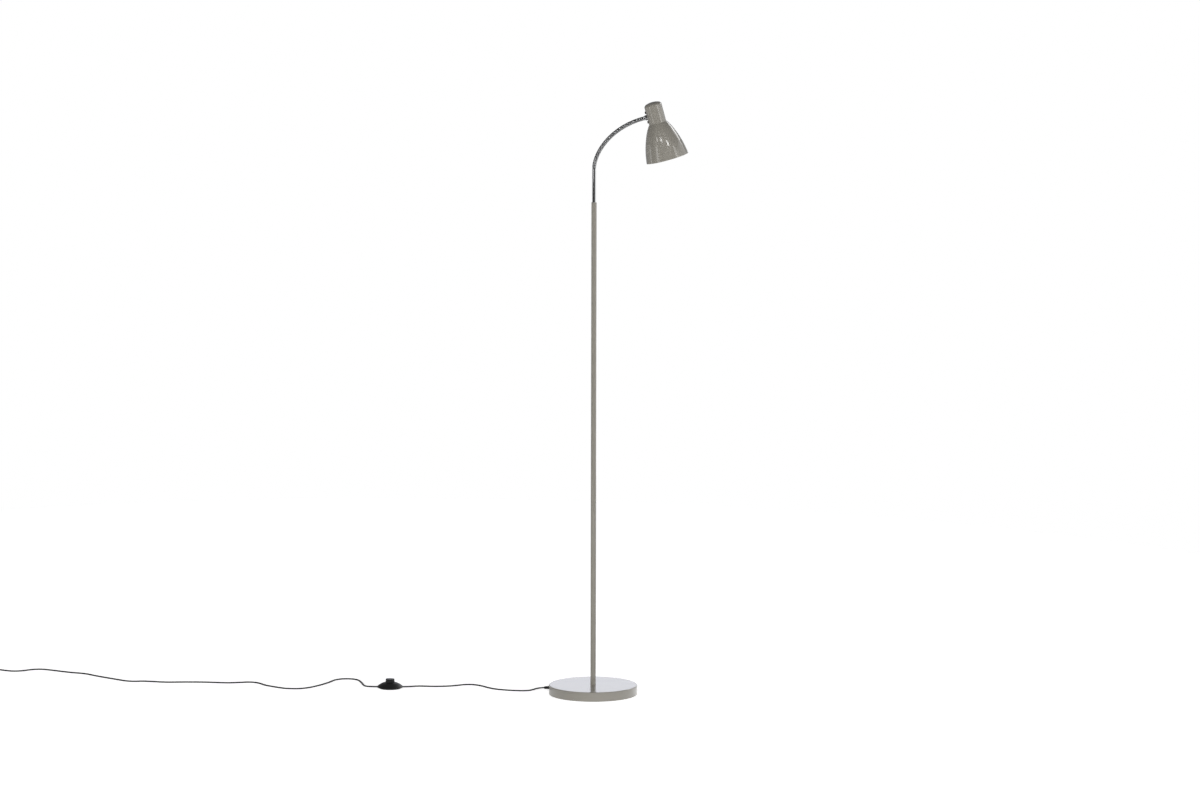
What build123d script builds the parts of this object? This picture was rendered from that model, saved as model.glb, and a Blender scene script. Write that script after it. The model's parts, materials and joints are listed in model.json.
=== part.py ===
from build123d import *
import math
import os

os.makedirs("parts", exist_ok=True)

# Millimetres and degrees. Z is up from the floor, the pole stands on the Z axis, X points to the head.

# Base
base_diameter = 200.0
base_height = 22.0
cover_wall = 1.2
cover_edge_radius = 1.8
cover_floor_gap = 0.8
pad_thickness = 2.0
pad_inset = 3.0
weight_side_gap = 0.3
weight_recess_diameter = 120.0
weight_web = 5.3
base_washer_diameter = 30.0
base_washer_thickness = 1.5
base_nut_across_flats = 13.0
base_nut_thickness = 4.0
weight_edge_margin = 0.3

# Pole: tube sections end to end, joined by hollow screwed studs
pole_diameter = 12.0
pole_wall = 1.0
pole_section_length = 363.5
pole_sections = ("lower", "middle", "upper")
stud_diameter = 8.0
stud_length = 13.0
insert_length = 15.0
plug_length = 12.0
bush_head_height = 6.0
bush_edge = 0.5

# Gooseneck: a plated sleeve, then links on hinges, then a threaded ferrule
neck_diameter = 9.0
neck_bore = 6.0
sleeve_visible_length = 77.0
sleeve_spigot_length = 14.0
flex_joint_depth = 20.0
link_count = 12
neck_arc_length = 165.5
neck_end_heading = 74.5
neck_heading_power = 0.682
rib_count = 4
rib_depth = 0.45
rib_crest_share = 0.4
neck_steps = 40
bend_on = 6.5
bend_back = 10.0
sway = 9.0
ferrule_length = 4.5

# Head, measured down its own axis from the top of the neck cup
cup_diameter = 40.0
cup_length = 46.5
cup_wall = 1.2
cup_edge_radius = 2.6
cup_crown = 1.5
neck_entry_depth = 23.5
collar_diameter = 12.0
collar_length = 4.5
collar_edge = 0.8
bell_diameter = 97.0
bell_length = 77.0
bell_wall = 0.8
bell_start_slope = 44.0
bell_shoulder_depth = 17.0
bell_shoulder_diameter = 63.0
holder_screw_spread = 22.0
holder_screw_diameter = 3.0
holder_screw_length = 8.0
holder_screw_head_diameter = 5.6
holder_screw_head_height = 1.9
holder_screw_edge = 0.76
bracket_width = 14.0
bracket_thickness = 1.2
bracket_overhang = 4.0
bracket_corner_radius = 4.6
lock_nut_across_flats = 12.0
lock_nut_thickness = 3.5
lead_bend_radius = 8.0

# Small screw lampholder and bulb
holder_cap_diameter = 23.0
holder_skirt_diameter = 27.0
holder_flange_diameter = 31.0
holder_flange_thickness = 1.8
holder_cap_length = 6.0
holder_cap_edge = 1.5
holder_length = 25.0
holder_floor = 4.0
holder_nipple_diameter = 10.0
holder_nipple_length = 4.0
shell_wall = 0.4
shell_rim_inset = 2.0
bulb_cap_diameter = 13.6
bulb_cap_length = 22.0
bulb_cap_wall = 0.4
bulb_cap_chamfer = 2.0
thread_count = 5
thread_depth = 0.5
thread_margin = 3.0
thread_crest_share = 0.4
bulb_diameter = 40.0
bulb_length = 68.0
bulb_throat_diameter = 15.0
bulb_throat_curve = 12.0
bulb_wall = 0.8
bulb_seat_length = 5.0
ring_diameter = 34.0
ring_thickness = 5.0
ring_slots = 12
ring_slot_width = 3.0
ring_slot_depth = 1.2

# Flat two-core cord, with its corners cut in the solid
cord_width = 5.0
cord_thickness = 3.0
cord_chamfer = 0.9
cord_lift = 0.2
cord_end_straight = 5.0
lead_diameter = 3.6

# Where the cord leaves the rim
gland_azimuth = 156.0
gland_height = 7.0
gland_droop = 5.0
gland_root_diameter = 9.0
gland_tip_diameter = 6.8
gland_boot_length = 20.0
gland_rings = 4
gland_ring_depth = 0.5
gland_lead_out = 7.0
gland_flange_diameter = 10.6
gland_flange_thickness = 1.2
gland_inner_length = 10.0
clamp_radius = 46.0
clamp_length = 14.0
clamp_width = 24.0
clamp_plate = 2.0
clamp_corner_radius = 2.0
clamp_ear_inset = 2.0
clamp_screw_margin = 2.5
clamp_cable_height = 8.2
clamp_screw_diameter = 3.0
clamp_screw_head_diameter = 5.5
clamp_screw_head_height = 1.6
clamp_screw_length = 9.0
slot_width = 0.8
slot_depth = 0.8
supply_inset = 12.0
supply_lead = 3.0
supply_turn = 12.0
supply_drop = 5.2

# Foot switch on the floor
switch_x = -460.7
switch_y = 65.5
switch_diameter = 59.5
switch_widest_height = 3.0
switch_rim_height = 1.2
switch_foot_diameter = 48.0
switch_shoulder_diameter = 25.0
switch_dome_height = 14.0
switch_rim_slope = 45.0
switch_wall = 2.0
switch_floor = 1.5
switch_port_height = 3.6
switch_cord_reach = 22.0
button_diameter = 20.5
button_edge_radius = 1.6
button_travel = 3.0
button_proud = 5.2
button_top_height = switch_dome_height + button_travel + button_proud
button_flange_thickness = 1.5
button_flange_overhang = 1.6
button_wall = 2.0
spring_diameter = 10.0
spring_wire = 0.9
spring_turns = 3
spring_spigot_height = 2.0
switch_boss_diameter = 7.0
switch_pad_diameter = 8.2
switch_screw_diameter = 2.9
switch_screw_head_diameter = 5.2
switch_screw_head_height = 1.4
switch_screw_length = 7.0
switch_screw_radius = 20.0
contact_thickness = 0.8
contact_width = 6.0
contact_length = 9.0
contact_height = 4.2

# Put-away coil, its tie and the flat two-pin plug
coil_x = -1424.0
coil_y = 272.0
coil_entry_angle = 62.0
coil_inner_radius = 24.0
coil_pitch = 6.0
coil_layer_turns = 1.25
coil_layer_step = 3.6
coil_exit_height = 7.5
coil_lead_in = 24.0
tie_width = 5.0
tie_thickness = 0.6
plug_width = 35.0
plug_thickness = 13.7
plug_body_length = 36.0
plug_back_width = 16.0
plug_nose_width = 26.0
plug_shoulder = 13.0
plug_nose_taper = 10.0
plug_edge_radius = 3.0
plug_edge_chamfer = 1.2
plug_relief_length = 27.0
plug_relief_root_width = 11.0
plug_relief_root_height = 8.0
plug_relief_tip_width = 7.0
plug_relief_tip_height = 5.0
plug_relief_overlap = 2.0
pin_diameter = 4.0
pin_length = 19.0
pin_tip_chamfer = 0.8
pin_root_diameter = 3.2
pin_root_length = 6.0
pin_spacing = 18.6

# Clearances
fit = 0.05
running = 0.3
loose = 0.5
seat = 0.1

BOTTOM = (Align.CENTER, Align.CENTER, Align.MIN)
UP = Vector(0, 0, 1)


def save(node, *solids):
    shape = solids[0] if len(solids) == 1 else Compound(children=list(solids))
    export_step(shape, f"parts/{node}.step")


def bar(diameter, low, high):
    """A round bar on the Z axis between two heights."""
    return Pos(0, 0, low) * Cylinder(diameter / 2, high - low, align=BOTTOM)


def tube(outer, inner, low, high):
    return bar(outer, low, high) - bar(inner, low - 1, high + 1)


def cone(low_diameter, high_diameter, low, high):
    return Pos(0, 0, low) * Cone(low_diameter / 2, high_diameter / 2, high - low, align=BOTTOM)


def hexagon(across_flats, low, high):
    outline = RegularPolygon(across_flats / 2, 6, major_radius=False)
    return Pos(0, 0, low) * extrude(outline, high - low)


def block(x, y, z, size_x, size_y, size_z):
    """A box centred on x and y, standing on z."""
    return Pos(x, y, z) * Box(size_x, size_y, size_z, align=BOTTOM)


def turned(*edges):
    """The solid swept by a closed outline of radius (X) and height (Z) about the Z axis."""
    return revolve(make_face(Wire(list(edges))), Axis.Z)


def turned_outline(*corners):
    return turned(*Polyline(*[(r, 0, h) for r, h in corners], close=True).edges())


def cut_corner_face(width, height, cut):
    """A rectangle with its four corners cut off."""
    w, h, c = width / 2, height / 2, cut
    right_and_top = [(w, c - h), (w, h - c), (w - c, h), (c - w, h)]
    left_and_bottom = [(-w, h - c), (-w, c - h), (c - w, -h), (w - c, -h)]
    return make_face(Polyline(*right_and_top, *left_and_bottom, close=True))


def cord_section():
    return cut_corner_face(cord_width, cord_thickness, cord_chamfer)


def corner_radii(points):
    """Each corner's arc is as large as its two runs allow."""
    radii = []
    for before, corner, after in zip(points, points[1:], points[2:]):
        turn = (corner - before).get_angle(after - corner)
        run = min((corner - before).length, (after - corner).length)
        radii.append(0.45 * run / math.tan(math.radians(turn / 2)))
    return radii


def swept_cord(name, points, across=None):
    """Flat cord along straight runs joined by arcs, with its width level or along a given direction."""
    points = [Vector(*p) for p in points]
    radii = corner_radii(points)
    path = FilletPolyline(*points, radius=radii)
    start = Plane(origin=path @ 0, z_dir=path % 0, x_dir=across or UP.cross(path % 0))
    section = start * cord_section()
    solid = sweep(section, path)
    share = solid.volume / (section.area * path.length)
    print(f"{name}: {path.length:.0f} mm, radii {min(radii):.1f} to {max(radii):.0f} mm")
    print(f"{name}: volume share {share:.4f}")
    return solid


def swept_lead(points, radius):
    path = FilletPolyline(*[Vector(*p) for p in points], radius=radius)
    return sweep(Plane(origin=path @ 0, z_dir=path % 0) * Circle(lead_diameter / 2), path)


def biarc(start, start_way, end, end_way):
    """Two arcs that leave one point and reach another in given directions."""
    across = end - start
    ways = start_way + end_way
    a = 2 * (1 - start_way.dot(end_way))
    b = 2 * across.dot(ways)
    reach = 2 * across.dot(across) / (b + math.sqrt(b * b + 4 * a * across.dot(across)))
    first, last = start + start_way * reach, end - end_way * reach
    middle = (first + last) * 0.5
    way = (last - first).normalized()
    return [TangentArc(start, middle, tangent=start_way), TangentArc(middle, end, tangent=way)]


def way_at(place, angle, small=1e-4):
    return (place(angle + small) - place(angle - small)).normalized()


def inside_arc(arc, wall):
    """The arc a wall's thickness nearer to the same centre."""
    centre = arc.arc_center
    share = (arc.radius - wall) / arc.radius
    return ThreePointArc(*[centre + (arc @ at - centre) * share for at in (0, 0.5, 1)])


def flat_points(arc):
    return [(point.X, point.Z) for point in (arc @ 0, arc @ 1)]


def winding(place, turns, quarters=4):
    """A smooth wire through place(angle), as biarcs of a quarter turn."""
    step = 2 * math.pi / quarters
    knots = [i * step for i in range(round(turns * quarters) + 1)]
    ways = [way_at(place, k) for k in knots]
    edges = []
    for (k, way), (k_next, way_next) in zip(zip(knots, ways), zip(knots[1:], ways[1:])):
        edges += biarc(place(k), way, place(k_next), way_next)
    return edges


# Heights that the pieces share
weight_top = base_height - cover_wall
web_bottom = weight_top - weight_web
washer_bottom = web_bottom - base_washer_thickness
nut_bottom = washer_bottom - base_nut_thickness
pole_joints = [base_height + i * pole_section_length for i in range(len(pole_sections) + 1)]
pole_top = pole_joints[-1]
bush_top = pole_top + bush_head_height
sleeve_top = bush_top + sleeve_visible_length
flex_joint = sleeve_top - flex_joint_depth
pole_bore = pole_diameter - 2 * pole_wall
cable_bore = cord_width + 2 * running
rim_radius = base_diameter / 2
boot_end_radius = rim_radius + gland_boot_length


def rim_point(radius, height):
    """A point above the line from the pole to the gland."""
    turn = math.radians(gland_azimuth)
    return Vector(radius * math.cos(turn), radius * math.sin(turn), height)


boot_drop = gland_boot_length * math.tan(math.radians(gland_droop))
boot_end = rim_point(boot_end_radius, gland_height - boot_drop)


# Base

def base_cover():
    outer = bar(base_diameter, cover_floor_gap, base_height)
    outer = fillet(outer.edges().group_by(Axis.Z)[-1], cover_edge_radius)
    inner = bar(base_diameter - 2 * cover_wall, cover_floor_gap - 1, weight_top)
    inner = fillet(inner.edges().group_by(Axis.Z)[-1], max(cover_edge_radius - cover_wall, seat))
    return outer - inner - bar(stud_diameter + 2 * fit, 0, base_height + 1) - gland_hole()


def gland_plane(radius=rim_radius):
    """Looking outwards along the drooping gland, from where its axis crosses a radius."""
    droop = math.radians(gland_droop)
    centre = rim_point(radius, gland_height + (rim_radius - radius) * math.tan(droop))
    outwards = (rim_point(1, -math.tan(droop))).normalized()
    return Plane(origin=centre, z_dir=outwards, x_dir=UP.cross(outwards))


def gland_hole():
    return gland_plane() * bar(gland_root_diameter + 2 * fit, -6 * cover_wall, 6 * cover_wall)


def cable_passage(low, high):
    width, height = cord_width + 2 * fit, cord_thickness + 2 * fit
    return Pos(0, 0, low) * Box(width, height, high - low, align=BOTTOM)


def cord_gland():
    """Moulded strain relief: a flange inside the rim and a ringed, tapering boot outside it."""
    inside = cover_wall + 2 * fit
    flange_face = -inside - running - gland_flange_diameter / 2 * math.sin(math.radians(gland_droop))
    body = bar(gland_root_diameter, flange_face, 0)
    body += bar(gland_flange_diameter, flange_face - gland_flange_thickness, flange_face)
    bands = 2 * gland_rings + 1
    step = gland_boot_length / bands
    slimming = (gland_root_diameter - gland_tip_diameter) / (bands - 1)
    corners = [(0, 0)]
    for i in range(bands):
        groove = gland_ring_depth if i % 2 else 0
        outer = (gland_root_diameter - i * slimming) / 2 - groove
        corners += [(outer, i * step), (outer, (i + 1) * step)]
    boot = turned_outline(*corners, (0, gland_boot_length))
    passage = cable_passage(-gland_inner_length, gland_boot_length + 1)
    return gland_plane() * (body + boot - passage)


def base_weight():
    """Cast iron: a heavy ring with a thinner web, a boss for the cord clamp and a channel to the gland."""
    outer = base_diameter - 2 * cover_wall - 2 * weight_side_gap
    weight = bar(outer, pad_thickness, weight_top)
    edge = max(cover_edge_radius - cover_wall, seat) + weight_edge_margin
    weight = chamfer(weight.edges().group_by(Axis.Z)[-1], edge)
    weight -= bar(weight_recess_diameter, pad_thickness - 1, web_bottom)
    boss_bottom = clamp_cable_height + cord_thickness / 2 + fit
    turn = Rot(0, 0, gland_azimuth)
    boss_height = weight_top - boss_bottom
    weight += turn * block(clamp_radius, 0, boss_bottom, clamp_length, clamp_width, boss_height)
    for side in (-1, 1):
        hole = bar(clamp_screw_diameter + 2 * fit, boss_bottom - 1, boss_bottom + clamp_screw_length)
        weight -= turn * Pos(clamp_radius, side * clamp_screw_offset, 0) * hole
    channel_width = gland_flange_diameter + 2 * loose
    channel_top = gland_height + gland_flange_diameter / 2 + 2 * loose
    channel_start = clamp_radius + clamp_length / 2 + running
    channel_length = base_diameter / 2 - channel_start
    channel_middle = channel_start + channel_length / 2
    weight -= turn * block(channel_middle, 0, 0, channel_length, channel_width, channel_top)
    return weight - bar(stud_diameter + 2 * fit, 0, base_height)


clamp_screw_offset = cord_width / 2 + clamp_screw_diameter / 2 + clamp_screw_margin


def cord_clamp():
    top = clamp_cable_height - cord_thickness / 2 - fit
    low = top - clamp_plate
    plate = block(clamp_radius, 0, low, clamp_length, clamp_width, clamp_plate)
    plate = fillet(plate.edges().filter_by(Axis.Z), clamp_corner_radius)
    ear = clamp_cable_height + cord_thickness / 2 + fit - top
    for side in (-1, 1):
        inner, outer = cord_width / 2 + running, clamp_width / 2 - clamp_ear_inset / 2
        ear_length = clamp_length - 2 * clamp_ear_inset
        plate += block(clamp_radius, side * (inner + outer) / 2, top, ear_length, outer - inner, ear)
        hole = bar(clamp_screw_diameter + 2 * fit, low - 1, top + ear + 1)
        plate -= Pos(clamp_radius, side * clamp_screw_offset, 0) * hole
    return Rot(0, 0, gland_azimuth) * plate


def cord_clamp_screws():
    head_top = clamp_cable_height - cord_thickness / 2 - fit - clamp_plate
    screw = bar(clamp_screw_head_diameter, head_top - clamp_screw_head_height, head_top)
    screw += bar(clamp_screw_diameter, head_top, head_top + clamp_screw_length)
    slot_length = clamp_screw_head_diameter + 2
    screw -= block(0, 0, head_top - clamp_screw_head_height - 1, slot_width, slot_length, slot_depth + 1)
    turn = Rot(0, 0, gland_azimuth)
    return [turn * Pos(clamp_radius, side * clamp_screw_offset, 0) * screw for side in (-1, 1)]


def base_stud():
    return tube(stud_diameter, cable_bore, nut_bottom - seat, base_height + stud_length)


def make_base():
    pad_diameter = base_diameter - 2 * cover_wall - 2 * pad_inset
    save("base_cover", base_cover())
    save("base_weight", base_weight())
    save("base_pad", bar(pad_diameter, 0, pad_thickness))
    washer = tube(base_washer_diameter, stud_diameter + 2 * fit, washer_bottom, web_bottom)
    save("base_washer", washer)
    nut = hexagon(base_nut_across_flats, nut_bottom, washer_bottom)
    save("base_nut", nut - bar(stud_diameter + 2 * fit, 0, base_height))
    save("base_stud", base_stud())
    save("cord_gland", cord_gland())
    save("cord_clamp", cord_clamp())
    save("cord_clamp_screws", *cord_clamp_screws())


# Pole

def pole_insert(low):
    """Threaded insert pressed into the foot of a section."""
    return tube(pole_bore - 2 * fit, stud_diameter + 2 * fit, low, low + insert_length)


def pole_coupler(joint):
    """Plug in the top of one section with a hollow stud into the next."""
    plug = bar(pole_bore - 2 * fit, joint - plug_length, joint)
    plug += bar(stud_diameter, joint, joint + stud_length)
    return plug - bar(cable_bore, 0, joint + stud_length + 1)


def pole_top_bush():
    head = bar(pole_diameter, pole_top, bush_top)
    head = chamfer(head.edges().group_by(Axis.Z)[-1], bush_edge)
    bush = head + bar(pole_bore - 2 * fit, pole_top - plug_length, pole_top)
    return bush - bar(stud_diameter + 2 * fit, 0, bush_top + 1)


def make_pole():
    for name, low, high in zip(pole_sections, pole_joints, pole_joints[1:]):
        save("pole_" + name, tube(pole_diameter, pole_bore, low, high))
    save("pole_inserts", *[pole_insert(low) for low in pole_joints[:-1]])
    save("pole_couplers", *[pole_coupler(joint) for joint in pole_joints[1:-1]])
    save("pole_top_bush", pole_top_bush())
    save("supply_flex", swept_cord("supply_flex", supply_route()))


def supply_route():
    """In the upright plane through the gland: in over the clamp, under the stud and up the pole."""
    low = nut_bottom - supply_drop
    spots = [
        (boot_end_radius, boot_end.Z),
        (rim_radius - supply_inset, gland_height + supply_inset * math.tan(math.radians(gland_droop))),
        (clamp_radius + clamp_length, clamp_cable_height),
        (clamp_radius - clamp_length - supply_lead, clamp_cable_height),
        (supply_turn, low),
        (0, low),
    ]
    points = [rim_point(radius, height) for radius, height in spots]
    return points + [Vector(0, 0, flex_joint)]


# Gooseneck

def heading(share):
    """Angle from upright at a share of the gooseneck's arc."""
    return math.radians(neck_end_heading * share ** neck_heading_power)


def neck_pivots():
    pivots = [Vector(0, 0, sleeve_top)]
    length = neck_arc_length / link_count
    for link in range(link_count):
        x, z = 0.0, 0.0
        for i in range(neck_steps):
            angle = heading((link + (i + 0.5) / neck_steps) / link_count)
            x += math.sin(angle) * length / neck_steps
            z += math.cos(angle) * length / neck_steps
        pivots.append(pivots[-1] + Vector(x, 0, z))
    return pivots


pivots = neck_pivots()
end_way = Vector(math.sin(heading(1)), 0, math.cos(heading(1)))
chords = [UP] + [(b - a).normalized() for a, b in zip(pivots, pivots[1:])] + [end_way]
rest_angles = [before.get_angle(after) for before, after in zip(chords, chords[1:])]


def joint_gap(joint):
    """Room from a pivot to the face of the piece on either side, for the joint's whole travel."""
    rest = rest_angles[joint]
    if joint % 2 == 0:
        widest = max(abs(rest + bend_on), abs(rest - bend_back))
    else:
        both = math.cos(math.radians(rest)) * math.cos(math.radians(sway))
        widest = math.degrees(math.acos(both))
    return neck_diameter / 2 * math.tan(math.radians(widest / 2)) + seat


def gooseneck_link(index):
    """One length of the ribbed tube, between two pivots."""
    low = joint_gap(index)
    high = (pivots[index + 1] - pivots[index]).length - joint_gap(index + 1)
    root, crest = neck_diameter / 2 - rib_depth, neck_diameter / 2
    rib = (high - low) / rib_count
    flank = (1 - rib_crest_share) / 2
    corners = [(neck_bore / 2, low), (root, low)]
    for i in range(rib_count):
        start = low + i * rib
        corners += [(crest, start + flank * rib), (crest, start + (1 - flank) * rib), (root, start + rib)]
    link = turned_outline(*corners, (neck_bore / 2, high))
    return Plane(origin=pivots[index], z_dir=chords[index + 1], x_dir=(0, 1, 0)) * link


def gooseneck_sleeve():
    sleeve = bar(neck_diameter, bush_top, sleeve_top - joint_gap(0))
    sleeve += bar(stud_diameter, bush_top - sleeve_spigot_length, bush_top)
    return sleeve - bar(cable_bore, 0, sleeve_top + 1)


head_axis = Vector(math.cos(heading(1)), 0, -math.sin(heading(1)))
neck_to_axis = ferrule_length + collar_length + cup_diameter / 2
head_top = pivots[-1] + end_way * neck_to_axis - head_axis * neck_entry_depth
head_plane = Plane(origin=head_top, z_dir=head_axis, x_dir=end_way)
wall_inside = cup_diameter / 2 - cup_wall
bracket_face = math.sqrt(wall_inside ** 2 - (bracket_width / 2) ** 2) - fit
nut_face = bracket_face - bracket_thickness
flex_end = -nut_face + lock_nut_thickness


def on_neck_axis(shape):
    """Lays a shape made on the Z axis along the gooseneck's end, measured from the head's axis."""
    return Plane(origin=(0, 0, neck_entry_depth), z_dir=(1, 0, 0), x_dir=(0, 1, 0)) * shape


def gooseneck_ferrule():
    start = -neck_to_axis + joint_gap(link_count)
    outer = bar(neck_diameter, start, -neck_to_axis + ferrule_length)
    thread = bar(stud_diameter, -neck_to_axis + ferrule_length, -nut_face + lock_nut_thickness)
    return on_neck_axis(outer + thread - bar(cable_bore, start - 1, 0))


def head_collar():
    length = collar_length + cup_diameter / 2
    collar = bar(collar_diameter, -length, -wall_inside) - bar(stud_diameter + 2 * fit, -length - 1, 0)
    outer_edge = collar.edges().filter_by(GeomType.CIRCLE).group_by(Axis.Z)[0].sort_by(SortBy.RADIUS)[-1]
    collar = chamfer(outer_edge, collar_edge)
    return on_neck_axis(collar) - bar(cup_diameter + 2 * fit, -1, cup_length + 1)


def gooseneck_lock_nut():
    nut = hexagon(lock_nut_across_flats, -nut_face, -nut_face + lock_nut_thickness - seat)
    return on_neck_axis(nut - bar(stud_diameter + 2 * fit, -nut_face - 1, 0))


def make_gooseneck():
    save("gooseneck_sleeve", gooseneck_sleeve())
    for index in range(link_count):
        save(f"gooseneck_link_{index + 1:02d}", gooseneck_link(index))
    save("gooseneck_ferrule", head_plane * gooseneck_ferrule())
    save("gooseneck_lock_nut", head_plane * gooseneck_lock_nut())
    save("head_collar", head_plane * head_collar())
    end = head_plane.from_local_coords(Vector(flex_end, 0, neck_entry_depth))
    route = [Vector(0, 0, flex_joint)] + pivots + [end]
    save("gooseneck_flex", swept_cord("gooseneck_flex", route, Vector(0, 1, 0)))


# Head, modelled on its own axis with Z pointing down it, then placed

def cup_form(diameter, top, bottom, edge):
    """A round cup with a slightly domed top and a rounded edge, as a full solid."""
    shoulder = top + cup_crown
    radius = diameter / 2
    dome_end = (radius - edge, 0, shoulder)
    crown = ThreePointArc((0, 0, top), ((radius - edge) / 2, 0, top + cup_crown / 4), dome_end)
    corner = TangentArc(dome_end, (radius, 0, shoulder + edge), tangent=crown % 1)
    side = Polyline((radius, 0, shoulder + edge), (radius, 0, bottom), (0, 0, bottom), (0, 0, top))
    return turned(crown, corner, *side.edges())


def holder_screw_depths():
    return [neck_entry_depth + side * holder_screw_spread / 2 for side in (-1, 1)]


def neck_cup():
    cup = cup_form(cup_diameter, 0, cup_length, cup_edge_radius)
    inner_edge = max(cup_edge_radius - cup_wall, running)
    cup -= cup_form(cup_diameter - 2 * cup_wall, cup_wall, cup_length + 1, inner_edge)
    cup -= on_neck_axis(bar(stud_diameter + 2 * fit, -cup_diameter, 0))
    for depth in holder_screw_depths():
        hole = bar(holder_screw_diameter + 2 * seat, -cup_diameter, 0)
        cup -= Pos(0, 0, depth - neck_entry_depth) * on_neck_axis(hole)
    return cup


def holder_screws():
    """Round heads outside the cup, shanks through its wall into the bracket."""
    head_low = -cup_diameter / 2 - fit - holder_screw_head_height
    head = bar(holder_screw_head_diameter, head_low, -cup_diameter / 2 - fit)
    head = fillet(head.edges().group_by(Axis.Z)[0], holder_screw_edge)
    head -= block(0, 0, head_low - 1, slot_width, 2 * holder_screw_head_diameter, slot_depth + 1)
    face = -cup_diameter / 2
    screw = head + bar(holder_screw_diameter, face - fit, face + holder_screw_length)
    return [Pos(0, 0, depth - neck_entry_depth) * on_neck_axis(screw) for depth in holder_screw_depths()]


holder_top = cup_length - holder_flange_thickness - holder_cap_length
cavity_top = holder_top + holder_floor
holder_end = holder_top + holder_length
web_low = cup_length + bell_wall


def holder_bracket():
    """A strip behind the cup's wall with a foot that carries the lampholder."""
    top = neck_entry_depth - holder_screw_spread / 2 - bracket_overhang
    low = holder_top - fit
    plate = block((-bracket_face - nut_face) / 2, 0, top, bracket_thickness, bracket_width, low - top)
    foot_reach = holder_nipple_diameter / 2 + bracket_overhang
    foot_length = bracket_face + foot_reach
    foot_middle = foot_length / 2 - bracket_face
    foot = block(foot_middle, 0, low - bracket_thickness, foot_length, bracket_width, bracket_thickness)
    foot = fillet(foot.edges().filter_by(Axis.Z).group_by(Axis.X)[-1], bracket_corner_radius)
    bracket = plate + foot - bar(holder_nipple_diameter + 2 * fit, 0, low + 1)
    bracket -= on_neck_axis(bar(stud_diameter + 2 * fit, -cup_diameter, 0))
    for depth in holder_screw_depths():
        hole = bar(holder_screw_diameter + 2 * fit, -cup_diameter, 0)
        bracket -= Pos(0, 0, depth - neck_entry_depth) * on_neck_axis(hole)
    return bracket


def lampholder():
    shell_room = bulb_cap_diameter + 2 * shell_wall + 4 * fit
    body = bar(holder_cap_diameter, holder_top, cup_length)
    body = chamfer(body.edges().group_by(Axis.Z)[0], holder_cap_edge)
    body += bar(holder_nipple_diameter, holder_top - holder_nipple_length, holder_top)
    body += bar(holder_flange_diameter, cup_length - holder_flange_thickness, cup_length)
    body += bar(holder_skirt_diameter, cup_length, holder_end)
    body -= bar(lead_diameter + 2 * running, 0, cavity_top + 1)
    return body - bar(shell_room, cavity_top, holder_end + 1)


def lampholder_shell():
    inner = bulb_cap_diameter + 2 * fit
    wall = tube(inner + 2 * shell_wall, inner, cavity_top, holder_end - shell_rim_inset)
    return wall + tube(inner + 2 * shell_wall, lead_diameter, cavity_top, cavity_top + shell_wall)


cap_top = cavity_top + shell_wall + fit
cap_low = cap_top + bulb_cap_length
glass_stem_diameter = bulb_cap_diameter - 2 * thread_depth - 2 * bulb_cap_wall - 2 * seat
bulb_low = cap_top + bulb_length


def bulb_cap():
    """Screw cap, closed at its contact end."""
    crest, root = bulb_cap_diameter / 2, bulb_cap_diameter / 2 - thread_depth
    start = cap_top + thread_margin
    pitch = (bulb_cap_length - 2 * thread_margin) / thread_count
    flank = (1 - thread_crest_share) / 2
    corners = [(0, cap_top), (root - bulb_cap_chamfer, cap_top)]
    corners += [(root, cap_top + bulb_cap_chamfer), (root, start)]
    for i in range(thread_count):
        low = start + i * pitch
        corners += [(crest, low + flank * pitch), (crest, low + (1 - flank) * pitch), (root, low + pitch)]
    shell = turned_outline(*corners, (root, cap_low), (0, cap_low))
    return shell - bar(glass_stem_diameter + 2 * seat, cap_low - bulb_seat_length - seat, cap_low + 1)


def bulb_form(inset, top):
    """The globe and its throat, as a full solid set in by a wall."""
    globe, throat = bulb_diameter / 2, bulb_throat_diameter / 2
    curve = bulb_throat_curve
    centre = bulb_low - globe
    drop = math.sqrt((globe + curve) ** 2 - (throat + curve) ** 2)
    share = (globe - inset) / (globe + curve)
    meet = ((throat + curve) * share, 0, centre - drop * share)
    start = (throat - inset, 0, centre - drop)
    neck = TangentArc(start, meet, tangent=(0, 0, 1))
    ball = TangentArc(meet, (0, 0, bulb_low - inset), tangent=neck % 1)
    rest = Polyline((0, 0, bulb_low - inset), (0, 0, top), (throat - inset, 0, top), start)
    return turned(neck, ball, *rest.edges())


def bulb_glass():
    glass = bulb_form(0, cap_low) + bar(glass_stem_diameter, cap_low - bulb_seat_length, cap_low)
    return glass - bulb_form(bulb_wall, cap_low + bulb_wall)


def shade_bell():
    """Two arcs, tangent where they meet, under a flat top with a hole for the lampholder."""
    start = (cup_diameter / 2, 0, cup_length)
    shoulder = (bell_shoulder_diameter / 2, 0, cup_length + bell_shoulder_depth)
    slope = math.radians(bell_start_slope)
    upper = TangentArc(start, shoulder, tangent=(math.sin(slope), 0, math.cos(slope)))
    lower = TangentArc(shoulder, (bell_diameter / 2, 0, cup_length + bell_length), tangent=upper % 1)
    rim = (bell_diameter / 2, 0, cup_length + bell_length)
    outer = turned(upper, lower, *Polyline(rim, (0, 0, rim[2]), (0, 0, cup_length), start).edges())
    upper, lower = inside_arc(upper, bell_wall), inside_arc(lower, bell_wall)
    top, end = upper @ 0, lower @ 1
    close = Polyline(end, (end.X, 0, rim[2] + 1), (0, 0, rim[2] + 1), (0, 0, top.Z), top)
    inner = turned(upper, lower, *close.edges()) - bar(cup_diameter, cup_length - 1, web_low)
    return outer - inner - bar(holder_skirt_diameter + 2 * seat, cup_length - 1, web_low + 1)


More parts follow.
